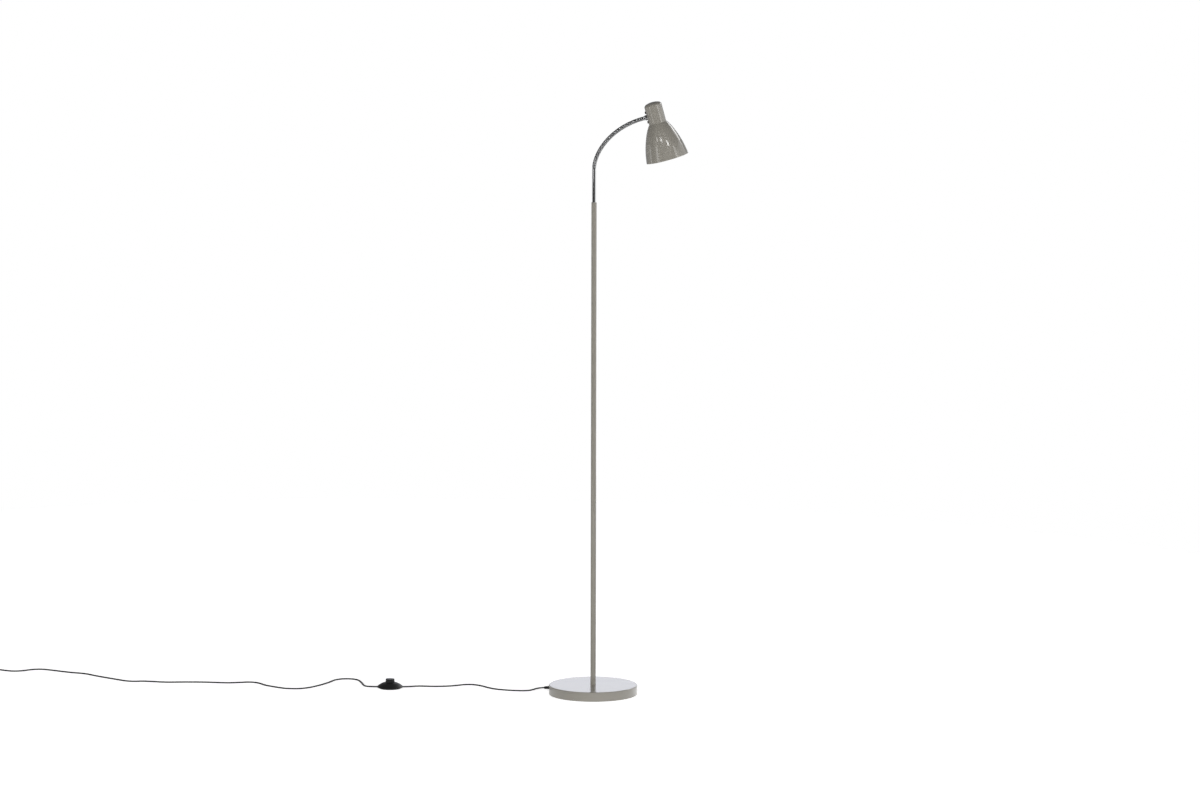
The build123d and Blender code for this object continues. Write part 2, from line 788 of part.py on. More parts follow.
def shade_ring():
    """Screwed on the lampholder's skirt against the shade's top, with finger notches."""
    ring = tube(ring_diameter, holder_skirt_diameter + 2 * fit, web_low, web_low + ring_thickness)
    notch_height = ring_thickness + 2
    notch = block(ring_diameter / 2, 0, web_low - 1, 2 * ring_slot_depth, ring_slot_width, notch_height)
    for i in range(ring_slots):
        ring -= Rot(0, 0, 360 / ring_slots * i) * notch
    return ring


def head_leads():
    route = [(flex_end, 0, neck_entry_depth), (0, 0, neck_entry_depth), (0, 0, cavity_top)]
    return swept_lead(route, lead_bend_radius)


def make_head():
    shapes = {
        "neck_cup": neck_cup(),
        "holder_bracket": holder_bracket(),
        "lampholder": lampholder(),
        "lampholder_shell": lampholder_shell(),
        "shade_ring": shade_ring(),
        "shade_bell": shade_bell(),
        "bulb_glass": bulb_glass(),
        "bulb_cap": bulb_cap(),
        "head_leads": head_leads(),
    }
    for node, shape in shapes.items():
        save(node, head_plane * shape)
    save("holder_screws", *[head_plane * screw for screw in holder_screws()])


# Foot switch, modelled on the Z axis, then placed

def dome_arc():
    slope = math.radians(switch_rim_slope)
    start = (switch_diameter / 2, 0, switch_widest_height + switch_rim_height)
    end = (switch_shoulder_diameter / 2, 0, switch_dome_height)
    return TangentArc(start, end, tangent=(-math.cos(slope), 0, math.sin(slope)))


def under_arc(arc, low):
    """The full solid under a dome's arc, down to a height."""
    (outer, rim), (inner, top) = flat_points(arc)
    close = Polyline((inner, 0, top), (0, 0, top), (0, 0, low), (outer, 0, low), (outer, 0, rim))
    return turned(arc, *close.edges())


dome_inside = inside_arc(dome_arc(), switch_wall)
cover_ceiling = (dome_inside @ 1).Z
flange_top = cover_ceiling - running
flange_low = flange_top - button_flange_thickness
button_ceiling = button_top_height - button_wall


def switch_ports():
    low = switch_port_height - cord_thickness / 2 - running
    return block(0, 0, low, switch_diameter + 2, cord_width + 2 * running, cord_thickness + 2 * running)


def switch_screw_places():
    return [Pos(0, side * switch_screw_radius, 0) for side in (-1, 1)]


def foot_switch_cover():
    outer = under_arc(dome_arc(), switch_widest_height)
    cover = outer - under_arc(dome_inside, switch_widest_height - 1)
    cover -= bar(button_diameter + 2 * running, 0, button_top_height) + switch_ports()
    for place in switch_screw_places():
        boss = place * bar(switch_boss_diameter, switch_widest_height, switch_dome_height)
        cover += boss & outer
        cover -= place * bar(switch_screw_diameter + 2 * fit, 0, switch_widest_height + switch_screw_length)
    return cover


def foot_switch_bottom():
    bottom = cone(switch_foot_diameter, switch_diameter - 4 * seat, 0, switch_widest_height)
    bottom -= bar(switch_diameter - 4 * switch_wall, switch_floor, switch_widest_height + 1)
    spigot_diameter = spring_diameter - 2 * spring_wire - 4 * fit
    bottom += bar(spigot_diameter, switch_floor, switch_floor + spring_spigot_height)
    for place in switch_screw_places():
        bottom += place * bar(switch_pad_diameter, switch_floor, switch_widest_height)
        bottom -= place * bar(switch_screw_diameter + 2 * fit, -1, switch_widest_height + 1)
        bottom -= place * bar(switch_screw_head_diameter + 2 * fit, -1, switch_screw_head_height + seat)
    return bottom - (switch_ports() - bar(2 * switch_cord_reach, 0, switch_widest_height))


def foot_switch_button():
    button = bar(button_diameter, flange_low, button_top_height)
    button = fillet(button.edges().group_by(Axis.Z)[-1], button_edge_radius)
    button += bar(button_diameter + 2 * button_flange_overhang, flange_low, flange_top)
    return button - bar(button_diameter - 2 * button_wall, flange_low - 1, button_ceiling)


def foot_switch_spring():
    low = switch_floor + spring_wire / 2 + fit
    high = button_ceiling - spring_wire / 2 - fit
    radius = (spring_diameter - spring_wire) / 2

    def place(angle):
        rise = (high - low) * angle / (2 * math.pi * spring_turns)
        return Vector(radius * math.cos(angle), radius * math.sin(angle), low + rise)

    path = Wire(winding(place, spring_turns))
    return sweep(Plane(origin=path @ 0, z_dir=path % 0) * RegularPolygon(spring_wire / 2, 6), path)


def foot_switch_screws():
    head = bar(switch_screw_head_diameter, seat, switch_screw_head_height)
    screw_top = switch_widest_height + switch_screw_length - 1
    screw = head + bar(switch_screw_diameter, switch_screw_head_height, screw_top)
    screw -= block(0, 0, seat - 1, slot_width, switch_screw_head_diameter + 2, slot_depth + 1)
    return [place * screw for place in switch_screw_places()]


def foot_switch_contacts():
    """An angle strip at the end of each cord."""
    low = switch_floor + fit
    face = switch_cord_reach - seat
    strip = block(face - contact_length / 2, 0, low, contact_length, contact_width, contact_thickness)
    strip += block(face - contact_thickness / 2, 0, low, contact_thickness, contact_width, contact_height)
    return [strip, Rot(0, 0, 180) * strip]


def make_switch():
    place = Pos(switch_x, switch_y, 0)
    shapes = {
        "foot_switch_cover": [foot_switch_cover()],
        "foot_switch_bottom": [foot_switch_bottom()],
        "foot_switch_button": [foot_switch_button()],
        "foot_switch_spring": [foot_switch_spring()],
        "foot_switch_screws": foot_switch_screws(),
        "foot_switch_contacts": foot_switch_contacts(),
    }
    for node, solids in shapes.items():
        save(node, *[place * solid for solid in solids])


# Cord on the floor, its put-away coil and the plug

coil_floor = seat + tie_thickness + fit + cord_thickness / 2
layer_angle = 2 * math.pi * coil_layer_turns
climb_end = layer_angle + math.pi
coil_end_angle = climb_end + layer_angle


def coil_spot(angle):
    """Radius and height: in on the lower layer, up while it reverses, out on the upper one."""
    slope = coil_pitch / (2 * math.pi)
    upper = coil_floor + coil_layer_step
    if angle < layer_angle:
        return coil_inner_radius + slope * (layer_angle - angle), coil_floor
    if angle < climb_end:
        past = angle - layer_angle
        share = past / math.pi
        rise = coil_layer_step * (3 * share ** 2 - 2 * share ** 3)
        return coil_inner_radius - slope * (past - past ** 2 / math.pi), coil_floor + rise
    share = max(0.0, 1 - (coil_end_angle - angle) / (math.pi / 2))
    share = min(share, 1.0)
    rise = (coil_exit_height - upper) * (3 * share ** 2 - 2 * share ** 3)
    return coil_inner_radius + slope * (angle - climb_end), upper + rise


def coil_place(angle):
    radius, height = coil_spot(angle)
    turn = math.radians(coil_entry_angle) + angle
    return Vector(coil_x + radius * math.cos(turn), coil_y + radius * math.sin(turn), height)


def coil_gap():
    """Least gap between turns that lie beside or above each other."""
    gaps = []
    steps = round(math.degrees(coil_end_angle - 2 * math.pi))
    for i in range(steps + 1):
        for laps in (1, 2):
            angle = math.radians(i)
            if angle + laps * 2 * math.pi > coil_end_angle:
                continue
            radius, height = coil_spot(angle)
            other_radius, other_height = coil_spot(angle + laps * 2 * math.pi)
            across = abs(other_radius - radius) - cord_width
            above = abs(other_height - height) - cord_thickness
            corner = (across + above + 2 * cord_chamfer) / math.sqrt(2)
            gaps.append(max(across, above, corner))
    return min(gaps)


coil_in_way = way_at(coil_place, 0)
coil_out_way = way_at(coil_place, coil_end_angle - 1e-3)
coil_out_way = Vector(coil_out_way.X, coil_out_way.Y, 0).normalized()
coil_start = coil_place(0) - coil_in_way * cord_end_straight
coil_end = coil_place(coil_end_angle) + coil_out_way * cord_end_straight

switch_route = [
    boot_end,
    boot_end + gland_plane().z_dir * gland_lead_out,
    (-124.0, 51.4, 3.6),
    (-132.0, 47.2, 2.6),
    (-138.1, 38.1, 1.9),
    (-148.0, 31.4, 1.7),
    (-161.8, 29.0, 1.7),
    (-181.5, 32.4, 1.7),
    (-204.0, 39.5, 1.7),
    (-222.0, 49.0, 1.7),
    (-238.0, 66.0, 1.7),
    (-249.0, 83.0, 1.7),
    (-260.5, 96.0, 1.7),
    (-274.0, 104.8, 1.7),
    (-289.5, 105.3, 1.7),
    (-304.0, 97.0, 1.7),
    (-321.0, 86.5, 1.7),
    (-346.0, 80.5, 1.7),
    (-372.0, 81.0, 1.7),
    (-391.0, 83.5, 1.9),
    (-404.0, 78.5, 2.5),
    (-413.5, 70.0, 3.2),
    (-424.5, switch_y, switch_port_height),
    (switch_x + switch_cord_reach, switch_y, switch_port_height),
]

plug_route = [
    (switch_x - switch_cord_reach, switch_y, switch_port_height),
    (-495.0, switch_y, switch_port_height),
    (-505.4, 69.2, 3.1),
    (-513.9, 76.1, 2.4),
    (-519.7, 85.5, 1.9),
    (-523.8, 105.0, 1.7),
    (-528.5, 131.0, 1.7),
    (-536.0, 158.0, 1.7),
    (-546.8, 169.4, 1.7),
    (-561.2, 173.6, 1.7),
    (-575.9, 170.4, 1.7),
    (-587.4, 160.8, 1.7),
    (-594.5, 146.0, 1.7),
    (-603.0, 124.0, 1.7),
    (-619.0, 96.0, 1.7),
    (-633.0, 76.0, 1.7),
    (-645.0, 62.0, 1.7),
    (-657.0, 53.0, 1.7),
    (-671.0, 48.0, 1.7),
    (-687.0, 49.0, 1.7),
    (-704.0, 54.5, 1.7),
    (-728.0, 75.0, 1.7),
    (-745.0, 90.0, 1.7),
    (-756.0, 110.0, 1.7),
    (-766.5, 124.0, 1.7),
    (-783.5, 130.0, 1.7),
    (-806.0, 124.0, 1.7),
    (-835.0, 117.5, 1.7),
    (-878.0, 127.5, 1.7),
    (-928.0, 128.5, 1.7),
    (-974.0, 124.5, 1.7),
    (-1006.0, 134.0, 1.7),
    (-1027.0, 138.5, 1.7),
    (-1046.0, 134.0, 1.7),
    (-1066.0, 140.0, 1.7),
    (-1086.0, 158.0, 1.7),
    (-1116.0, 183.0, 1.7),
    (-1141.0, 206.0, 1.7),
    (-1164.0, 231.0, 1.7),
    (-1201.0, 245.0, 1.7),
    (-1243.0, 272.0, 1.7),
    (-1267.0, 285.5, 1.7),
    (-1285.0, 283.5, 1.7),
    (-1299.0, 274.0, 1.7),
    (-1311.0, 264.0, 1.7),
    (-1326.0, 259.0, 1.7),
    (-1343.0, 262.5, 1.7),
    (-1361.0, 274.5, 1.8),
    coil_start - coil_in_way * coil_lead_in,
    coil_start,
]


def cord_coil():
    edges = [Line(coil_start, coil_place(0))] + winding(coil_place, coil_end_angle / (2 * math.pi))
    path = Wire(edges + [Line(coil_place(coil_end_angle), coil_end)])
    section = Plane(origin=path @ 0, z_dir=path % 0, x_dir=UP.cross(path % 0)) * cord_section()
    coil = sweep(section, path)
    print(f"cord_coil: {path.length:.0f} mm, least gap {coil_gap():.2f} mm, volume share",
          round(coil.volume / (section.area * path.length), 4))
    return coil


def cord_tie():
    """A band round all the turns, opposite the place where the cord comes in."""
    laps = round(coil_end_angle / (2 * math.pi))
    passes = [coil_spot(math.pi + lap * 2 * math.pi) for lap in range(laps)]
    near = min(radius for radius, height in passes) - cord_width / 2 - running
    far = max(radius for radius, height in passes) + cord_width / 2 + running
    low = min(height for radius, height in passes) - cord_thickness / 2 - fit
    high = max(height for radius, height in passes) + cord_thickness / 2 + running
    room = block((near + far) / 2, 0, low, far - near, 2 * tie_width, high - low)
    size = 2 * tie_thickness
    band = block((near + far) / 2, 0, low - tie_thickness, far - near + size, tie_width, high - low + size)
    band = fillet(band.edges().filter_by(Axis.Y), 2 * tie_thickness)
    return Pos(coil_x, coil_y, 0) * Rot(0, 0, coil_entry_angle + 180) * (band - room)


# The plug is modelled with its cord arriving at the origin along X

plug_axis = plug_thickness / 2 + seat
plug_back = plug_relief_length
plug_front = plug_back + plug_body_length


def relief_face(x, height, width, thickness):
    place = Plane(origin=(x, 0, height), x_dir=(0, 1, 0), z_dir=(1, 0, 0))
    return place * cut_corner_face(width, thickness, thickness / 4)


def plug_body():
    back, wide, nose = plug_back_width / 2, plug_width / 2, plug_nose_width / 2
    shoulder, taper = plug_back + plug_shoulder, plug_front - plug_nose_taper
    side = [(plug_back, back), (shoulder, wide), (taper, wide), (plug_front, nose)]
    outline = make_face(Polyline(*side, *[(x, -y) for x, y in reversed(side)], close=True))
    body = Pos(0, 0, seat) * extrude(outline, plug_thickness)
    body = fillet(body.edges().filter_by(Axis.Z), plug_edge_radius)
    body = chamfer(body.edges().group_by(Axis.Z)[0] + body.edges().group_by(Axis.Z)[-1], plug_edge_chamfer)
    tip = relief_face(0, coil_exit_height, plug_relief_tip_width, plug_relief_tip_height)
    root_place = plug_back + plug_relief_overlap
    root = relief_face(root_place, plug_axis, plug_relief_root_width, plug_relief_root_height)
    body += loft([tip, root])
    for side_of_plug in (-1, 1):
        hole = bar(pin_root_diameter + 2 * fit, plug_front - pin_root_length - seat, plug_front + 1)
        body -= pin_place(side_of_plug) * hole
    return body


def pin_place(side_of_plug):
    return Pos(0, side_of_plug * pin_spacing / 2, plug_axis) * Rot(0, 90, 0)


def plug_pin():
    pin = bar(pin_diameter, plug_front, plug_front + pin_length)
    pin = chamfer(pin.edges().group_by(Axis.Z)[-1], pin_tip_chamfer)
    return pin + bar(pin_root_diameter, plug_front - pin_root_length, plug_front)


def make_cord():
    save("cord_to_switch", swept_cord("cord_to_switch", switch_route))
    save("cord_to_plug", swept_cord("cord_to_plug", plug_route))
    save("cord_coil", cord_coil())
    save("cord_tie", cord_tie())
    plug_plane = Plane(origin=(coil_end.X, coil_end.Y, 0), x_dir=coil_out_way, z_dir=UP)
    save("plug_body", plug_plane * plug_body())
    save("plug_pins", *[plug_plane * pin_place(side) * plug_pin() for side in (-1, 1)])


make_base()
make_pole()
make_gooseneck()
make_head()
make_switch()
make_cord()
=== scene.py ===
import bmesh
import bpy
import json
import math
from mathutils import Matrix, Vector


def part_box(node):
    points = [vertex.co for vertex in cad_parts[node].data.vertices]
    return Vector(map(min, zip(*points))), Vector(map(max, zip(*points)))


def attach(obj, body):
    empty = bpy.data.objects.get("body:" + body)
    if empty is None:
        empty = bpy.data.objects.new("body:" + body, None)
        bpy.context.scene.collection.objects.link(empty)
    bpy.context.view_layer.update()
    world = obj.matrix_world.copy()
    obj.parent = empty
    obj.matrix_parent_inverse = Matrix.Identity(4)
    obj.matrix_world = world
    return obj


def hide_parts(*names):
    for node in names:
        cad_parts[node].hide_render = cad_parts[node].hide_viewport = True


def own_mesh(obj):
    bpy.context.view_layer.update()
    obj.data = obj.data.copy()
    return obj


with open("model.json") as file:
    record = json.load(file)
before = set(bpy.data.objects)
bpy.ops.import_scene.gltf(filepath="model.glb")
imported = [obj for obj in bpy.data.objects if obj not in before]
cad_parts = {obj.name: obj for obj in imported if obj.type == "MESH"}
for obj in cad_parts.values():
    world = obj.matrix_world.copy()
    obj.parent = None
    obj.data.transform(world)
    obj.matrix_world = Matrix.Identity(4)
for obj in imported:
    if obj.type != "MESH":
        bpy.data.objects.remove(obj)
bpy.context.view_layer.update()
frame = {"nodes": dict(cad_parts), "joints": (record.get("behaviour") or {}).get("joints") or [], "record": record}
mm = 0.001  # sizes below are in millimetres, the scene is in metres
print("frame loaded:", len(frame["nodes"]), "nodes")


# ---- helpers for the mesh work

def boxOf(node):
    low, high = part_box(node)
    return low / mm, high / mm


def turned(profile, steps=96, closed=False):  # (radius, height) points spun round Z
    bm = bmesh.new()
    dots = [bm.verts.new((radius, 0, height)) for radius, height in profile]
    runs = [bm.edges.new(pair) for pair in zip(dots, dots[1:])]
    if closed:
        runs.append(bm.edges.new((dots[-1], dots[0])))
    bmesh.ops.spin(bm, geom=dots + runs, cent=(0, 0, 0), axis=(0, 0, 1), dvec=(0, 0, 0),
                   angle=math.tau, steps=steps, use_merge=True, use_normal_flip=False, use_duplicate=False)
    bmesh.ops.remove_doubles(bm, verts=bm.verts, dist=1e-4)
    bmesh.ops.recalc_face_normals(bm, faces=bm.faces)
    return bm


def rounded(bm, radius, height, size, segments=4):  # softens the ring of edges at that radius and height
    def onRing(v):
        return abs(math.hypot(v.co.x, v.co.y) - radius) < 1e-3 and abs(v.co.z - height) < 1e-3
    edges = [e for e in bm.edges if all(onRing(v) for v in e.verts)]
    bmesh.ops.bevel(bm, geom=edges, offset=size, offset_type="OFFSET", segments=segments,
                    profile=0.5, affect="EDGES", material=-1, clamp_overlap=True)


def arc(centre, radius, fromAngle, toAngle, steps):  # points of a round stretch, angles in degrees
    spots = []
    for i in range(steps + 1):
        a = math.radians(fromAngle + (toAngle - fromAngle) * i / steps)
        spots.append((centre[0] + radius * math.cos(a), centre[1] + radius * math.sin(a)))
    return spots


def tangentArc(start, way, end, steps):  # leaves start along way and reaches end
    dx, dy = end[0] - start[0], end[1] - start[1]
    across = (-way[1], way[0])
    reach = dx * across[0] + dy * across[1]
    radius = (dx * dx + dy * dy) / (2 * reach)
    centre = (start[0] + across[0] * radius, start[1] + across[1] * radius)
    first = math.degrees(math.atan2(start[1] - centre[1], start[0] - centre[0]))
    last = math.degrees(math.atan2(end[1] - centre[1], end[0] - centre[0]))
    turn = (last - first + 180) % 360 - 180
    return arc(centre, abs(radius), first, first + turn, steps)


def setIn(profile, wall):  # the outline moved inwards, square to its own run
    moved = []
    for i, (r, h) in enumerate(profile):
        before, after = profile[max(i - 1, 0)], profile[min(i + 1, len(profile) - 1)]
        dr, dh = after[0] - before[0], after[1] - before[1]
        size = math.hypot(dr, dh)
        moved.append((r - wall * dh / size, h + wall * dr / size))
    return moved


def addPiece(bm, name, body, slot, nodes=(), place=Matrix.Identity(4), sharp=35, finish=None):
    bmesh.ops.transform(bm, matrix=place @ Matrix.Scale(mm, 4), verts=bm.verts)
    mesh = bpy.data.meshes.new(name)
    bm.to_mesh(mesh)
    bm.free()
    mesh.shade_smooth()
    mesh.set_sharp_from_angle(angle=math.radians(sharp))
    piece = bpy.data.objects.new(name, mesh)
    bpy.context.scene.collection.objects.link(piece)
    mesh.materials.append(finishes[finish or slot].material)
    weighted = piece.modifiers.new("even shading", "WEIGHTED_NORMAL")
    weighted.keep_sharp = True
    if nodes:
        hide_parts(*nodes)
    if body:
        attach(piece, body)
    return piece


# ---- helpers for the finishes

class Sum:  # a socket that can be used in sums
    def __init__(self, finish, socket):
        self.finish, self.socket = finish, socket

    def maths(self, operation, first, second):
        return self.finish.node("Math", {"operation": operation}, {0: first, 1: second})

    def __add__(self, other):
        return self.maths("ADD", self, other)

    def __sub__(self, other):
        return self.maths("SUBTRACT", self, other)

    def __rsub__(self, other):
        return self.maths("SUBTRACT", other, self)

    def __mul__(self, other):
        return self.maths("MULTIPLY", self, other)

    def __pow__(self, other):
        return self.maths("POWER", self, other)

    __radd__ = __add__
    __rmul__ = __mul__


class Finish:  # one material or world and the nodes added to it
    def __init__(self, owner):
        self.material = owner
        owner.use_nodes = True
        self.tree = owner.node_tree
        self.shader = self.tree.nodes.get("Principled BSDF")

    def node(self, kind, settings={}, sockets={}, out=0):
        made = self.tree.nodes.new("ShaderNode" + kind)
        for name, value in settings.items():
            if name == "stops":
                stops = made.color_ramp.elements
                for spot, colour in value[1:-1]:
                    stops.new(spot)
                for stop, (spot, colour) in zip(list(stops), value):
                    stop.position, stop.color = spot, colour
            else:
                setattr(made, name, value)
        for name, value in sockets.items():
            self.plug(made, name, value)
        return Sum(self, made.outputs[out])

    def plug(self, node, name, value):
        if isinstance(value, Sum):
            self.tree.links.new(value.socket, node.inputs[name])
        else:
            node.inputs[name].default_value = value

    def shade(self, sockets):
        for name, value in sockets.items():
            self.plug(self.shader, name, value)

    def place(self):  # a piece's own coordinates, in metres
        return self.node("TexCoord", out=3)

    def noise(self, scale, detail=2.0, roughness=0.5):
        return self.node("TexNoise", {}, {"Vector": self.place(), "Scale": scale, "Detail": detail,
                                          "Roughness": roughness})

    def blend(self, share, first, second):  # two colours
        return self.node("Mix", {"data_type": "RGBA"}, {"Factor": share, 6: first, 7: second}, out=2)

    def bump(self, height, distance):
        return self.node("Bump", {}, {"Height": height, "Distance": distance, "Strength": 1.0})

    def ray(self, kind):  # 1 on the rays of that kind
        return self.node("LightPath", out=f"Is {kind} Ray")

    def seen(self):  # 1 where the camera looks, straight or through glass
        return self.ray("Camera") + self.ray("Transmission")

    def emit(self, colour):
        light = self.node("Emission", {}, {"Color": colour, "Strength": 1.0})
        self.tree.links.new(light.socket, self.tree.nodes["Material Output"].inputs["Surface"])


def grey(level, warmth=0.0):
    return (level * (1 + warmth), level, level * (1 - warmth), 1)


finishes = {}


def newFinish(slot):
    finishes[slot] = Finish(bpy.data.materials.new(slot + "Finish"))
    return finishes[slot]


# ---- finishes

lacquer = {
    "colour": (0.268, 0.252, 0.217, 1),
    "worn": (0.286, 0.270, 0.235, 1),
    "roughness": 0.28,
    "clearCoat": 0.85,
    "waviness": 900.0,
    "grain": 6000.0,
}


def makeLacquer(f):  # greige gloss enamel with a faint orange peel
    clouds = f.noise(22.0, 3.0)
    speckle = f.noise(lacquer["grain"], 1.0)
    peel = f.noise(lacquer["waviness"], 2.0)
    f.shade({
        "Base Color": f.blend(clouds * 0.6 + speckle * 0.3, lacquer["colour"], lacquer["worn"]),
        "Roughness": lacquer["roughness"] + 0.06 * clouds,
        "IOR": 1.5,
        "Coat Weight": lacquer["clearCoat"] + 0.1 * clouds,
        "Coat Roughness": 0.03,
        "Coat IOR": 1.5,
        "Normal": f.bump(peel, 0.000008),
    })


def makeInnerEnamel(f):  # the shade's white inside
    clouds = f.noise(30.0, 3.0)
    peel = f.noise(800.0, 2.0)
    f.shade({
        "Base Color": f.blend(clouds, (0.80, 0.79, 0.76, 1), (0.86, 0.85, 0.82, 1)),
        "Roughness": 0.32 + 0.1 * clouds,
        "Normal": f.bump(peel, 0.00002),
    })


def makePlate(f, level, roughness, spots):  # bright plated metal with light haze
    haze = f.noise(60.0, 4.0)
    fine = f.noise(spots, 2.0)
    f.shade({
        "Base Color": f.blend(haze, grey(level * 0.93, -0.02), grey(level, 0.0)),
        "Metallic": 1.0,
        "Roughness": roughness + 0.05 * haze + 0.04 * fine,
        "Normal": f.bump(fine, 0.000004),
    })


def makeMetal(f, colour, roughness, scale, depth, metallic):  # plain machined or cast metal
    clouds = f.noise(scale, 5.0, 0.6)
    fine = f.noise(scale * 9, 2.0)
    dark = tuple(c * 0.72 for c in colour[:3]) + (1,)
    f.shade({
        "Base Color": f.blend(clouds, dark, colour),
        "Metallic": metallic,
        "Roughness": roughness + 0.2 * clouds,
        "Normal": f.bump(fine + clouds, depth),
    })


def makePlastic(f, colour, roughness, grain, depth):  # moulded plastic or rubber, fine spark grain
    clouds = f.noise(35.0, 3.0)
    spark = f.node("TexVoronoi", {"feature": "F1"}, {"Vector": f.place(), "Scale": grain})
    light = tuple(min(c * 1.5 + 0.004, 1) for c in colour[:3]) + (1,)
    f.shade({
        "Base Color": f.blend(clouds * 0.6, colour, light),
        "Roughness": roughness + 0.12 * clouds,
        "Normal": f.bump(spark, depth),
    })


def makeSheath(f):  # soft black sheath, a little dusty
    dust = f.noise(140.0, 4.0, 0.65)
    fine = f.noise(2500.0, 2.0)
    f.shade({
        "Base Color": f.blend(dust ** 2.0, (0.010, 0.010, 0.011, 1), (0.030, 0.030, 0.032, 1)),
        "Roughness": 0.42 + 0.15 * dust,
        "Normal": f.bump(fine, 0.00001),
    })


def makeGlass(f):  # opal glass of the lamp bulb
    clouds = f.noise(45.0, 2.0)
    f.shade({
        "Base Color": f.blend(clouds, (0.83, 0.82, 0.79, 1), (0.90, 0.89, 0.86, 1)),
        "Roughness": 0.12 + 0.08 * clouds,
        "Subsurface Weight": 0.3,
        "Subsurface Radius": (0.01, 0.01, 0.01),
        "Subsurface Scale": 0.4,
        "Coat Weight": 0.5,
        "Coat Roughness": 0.05,
    })


plates = {  # level, roughness, scale of the haze
    "plated_steel": (0.68, 0.07, 900.0),
    "ribbedPlate": (0.50, 0.24, 900.0),  # the gooseneck's links
    "nickel_pins": (0.66, 0.2, 700.0),
}

metals = {  # colour, roughness, scale and depth of the unevenness, metallic
    "brass": ((0.72, 0.50, 0.20, 1), 0.25, 120.0, 0.00001, 1.0),
    "bare_steel": (grey(0.45, 0.02), 0.3, 150.0, 0.00001, 1.0),
    "cast_iron": (grey(0.09, 0.03), 0.6, 90.0, 0.00012, 0.7),
    "black_screw": (grey(0.03), 0.35, 200.0, 0.00001, 0.6),
}

plastics = {  # colour, roughness, scale and depth of the grain
    "black_plastic": (grey(0.006), 0.36, 1800.0, 0.00001),
    "black_gloss_plastic": (grey(0.005), 0.22, 900.0, 0.000004),
    "pad_rubber": (grey(0.02), 0.7, 700.0, 0.00006),
    "white_plastic": (grey(0.72, 0.02), 0.35, 900.0, 0.00001),
}

makeLacquer(newFinish("lacquer"))
makeInnerEnamel(newFinish("innerEnamel"))
for make, looks in ((makePlate, plates), (makeMetal, metals), (makePlastic, plastics)):
    for slot, look in looks.items():
        make(newFinish(slot), *look)
makeSheath(newFinish("cord_sheath"))
makeGlass(newFinish("bulb_glass"))
print("finishes made:", len(finishes))

for material in frame["record"]["materials"]:  # every carried-over node gets its own finish
    for node in frame["nodes"].values():
        for held in node.material_slots:
            if held.material and held.material.name == material["slot"]:
                held.material = finishes[material["slot"]].material


# ---- camera, as the photograph was taken

camera = {
    "target": (0.01423, 0.0, 0.67147),
    "distance": 16.0,
    "elevation": 8.2869,
    "roll": 0.1231,
    "lens": 213.66,
}


def makeCamera():
    data = bpy.data.cameras.new("camera")
    data.sensor_fit = "HORIZONTAL"
    data.sensor_width = 36.0
    data.lens = camera["lens"]
    data.clip_end = 100.0
    eye = bpy.data.objects.new("camera", data)
    bpy.context.scene.collection.objects.link(eye)
    tilt, roll = math.radians(camera["elevation"]), math.radians(camera["roll"])
    back = Vector((0, -math.cos(tilt), math.sin(tilt)))
    up, right = Vector((0, math.sin(tilt), math.cos(tilt))), Vector((1, 0, 0))
    across = right * math.cos(roll) + up * math.sin(roll)
    upwards = up * math.cos(roll) - right * math.sin(roll)
    turn = Matrix((across, upwards, back)).transposed().to_4x4()
    eye.matrix_world = Matrix.Translation(Vector(camera["target"]) + back * camera["distance"]) @ turn
    bpy.context.scene.camera = eye


makeCamera()


# ---- cords: the same routes as the solid model's, then smooth

cordSize = {"width": 5.0, "thickness": 3.0, "lift": 0.2}

coil = {
    "centre": (-1.424, 0.272),
    "entryAngle": 62.0,
    "innerRadius": 24.0,
    "pitch": 6.0,
    "layerTurns": 1.25,
    "layerStep": 3.6,
    "floor": 2.25,
    "exitHeight": 7.5,
    "straight": 5.0,
    "perTurn": 16,
}

toSwitch = [
    (-0.1096, 0.0488, 0.00525),
    (-0.1160, 0.0516, 0.00464),
    (-0.1240, 0.0514, 0.0036),
    (-0.1320, 0.0472, 0.0026),
    (-0.1381, 0.0381, 0.0019),
    (-0.1480, 0.0314, 0.0017),
    (-0.1618, 0.0290, 0.0017),
    (-0.1815, 0.0324, 0.0017),
    (-0.2040, 0.0395, 0.0017),
    (-0.2220, 0.0490, 0.0017),
    (-0.2380, 0.0660, 0.0017),
    (-0.2490, 0.0830, 0.0017),
    (-0.2605, 0.0960, 0.0017),
    (-0.2740, 0.1048, 0.0017),
    (-0.2895, 0.1053, 0.0017),
    (-0.3040, 0.0970, 0.0017),
    (-0.3210, 0.0865, 0.0017),
    (-0.3460, 0.0805, 0.0017),
    (-0.3720, 0.0810, 0.0017),
    (-0.3910, 0.0835, 0.0019),
    (-0.4040, 0.0785, 0.0025),
    (-0.4135, 0.0700, 0.0032),
    (-0.4245, 0.0655, 0.0036),
    (-0.4387, 0.0655, 0.0036),
]

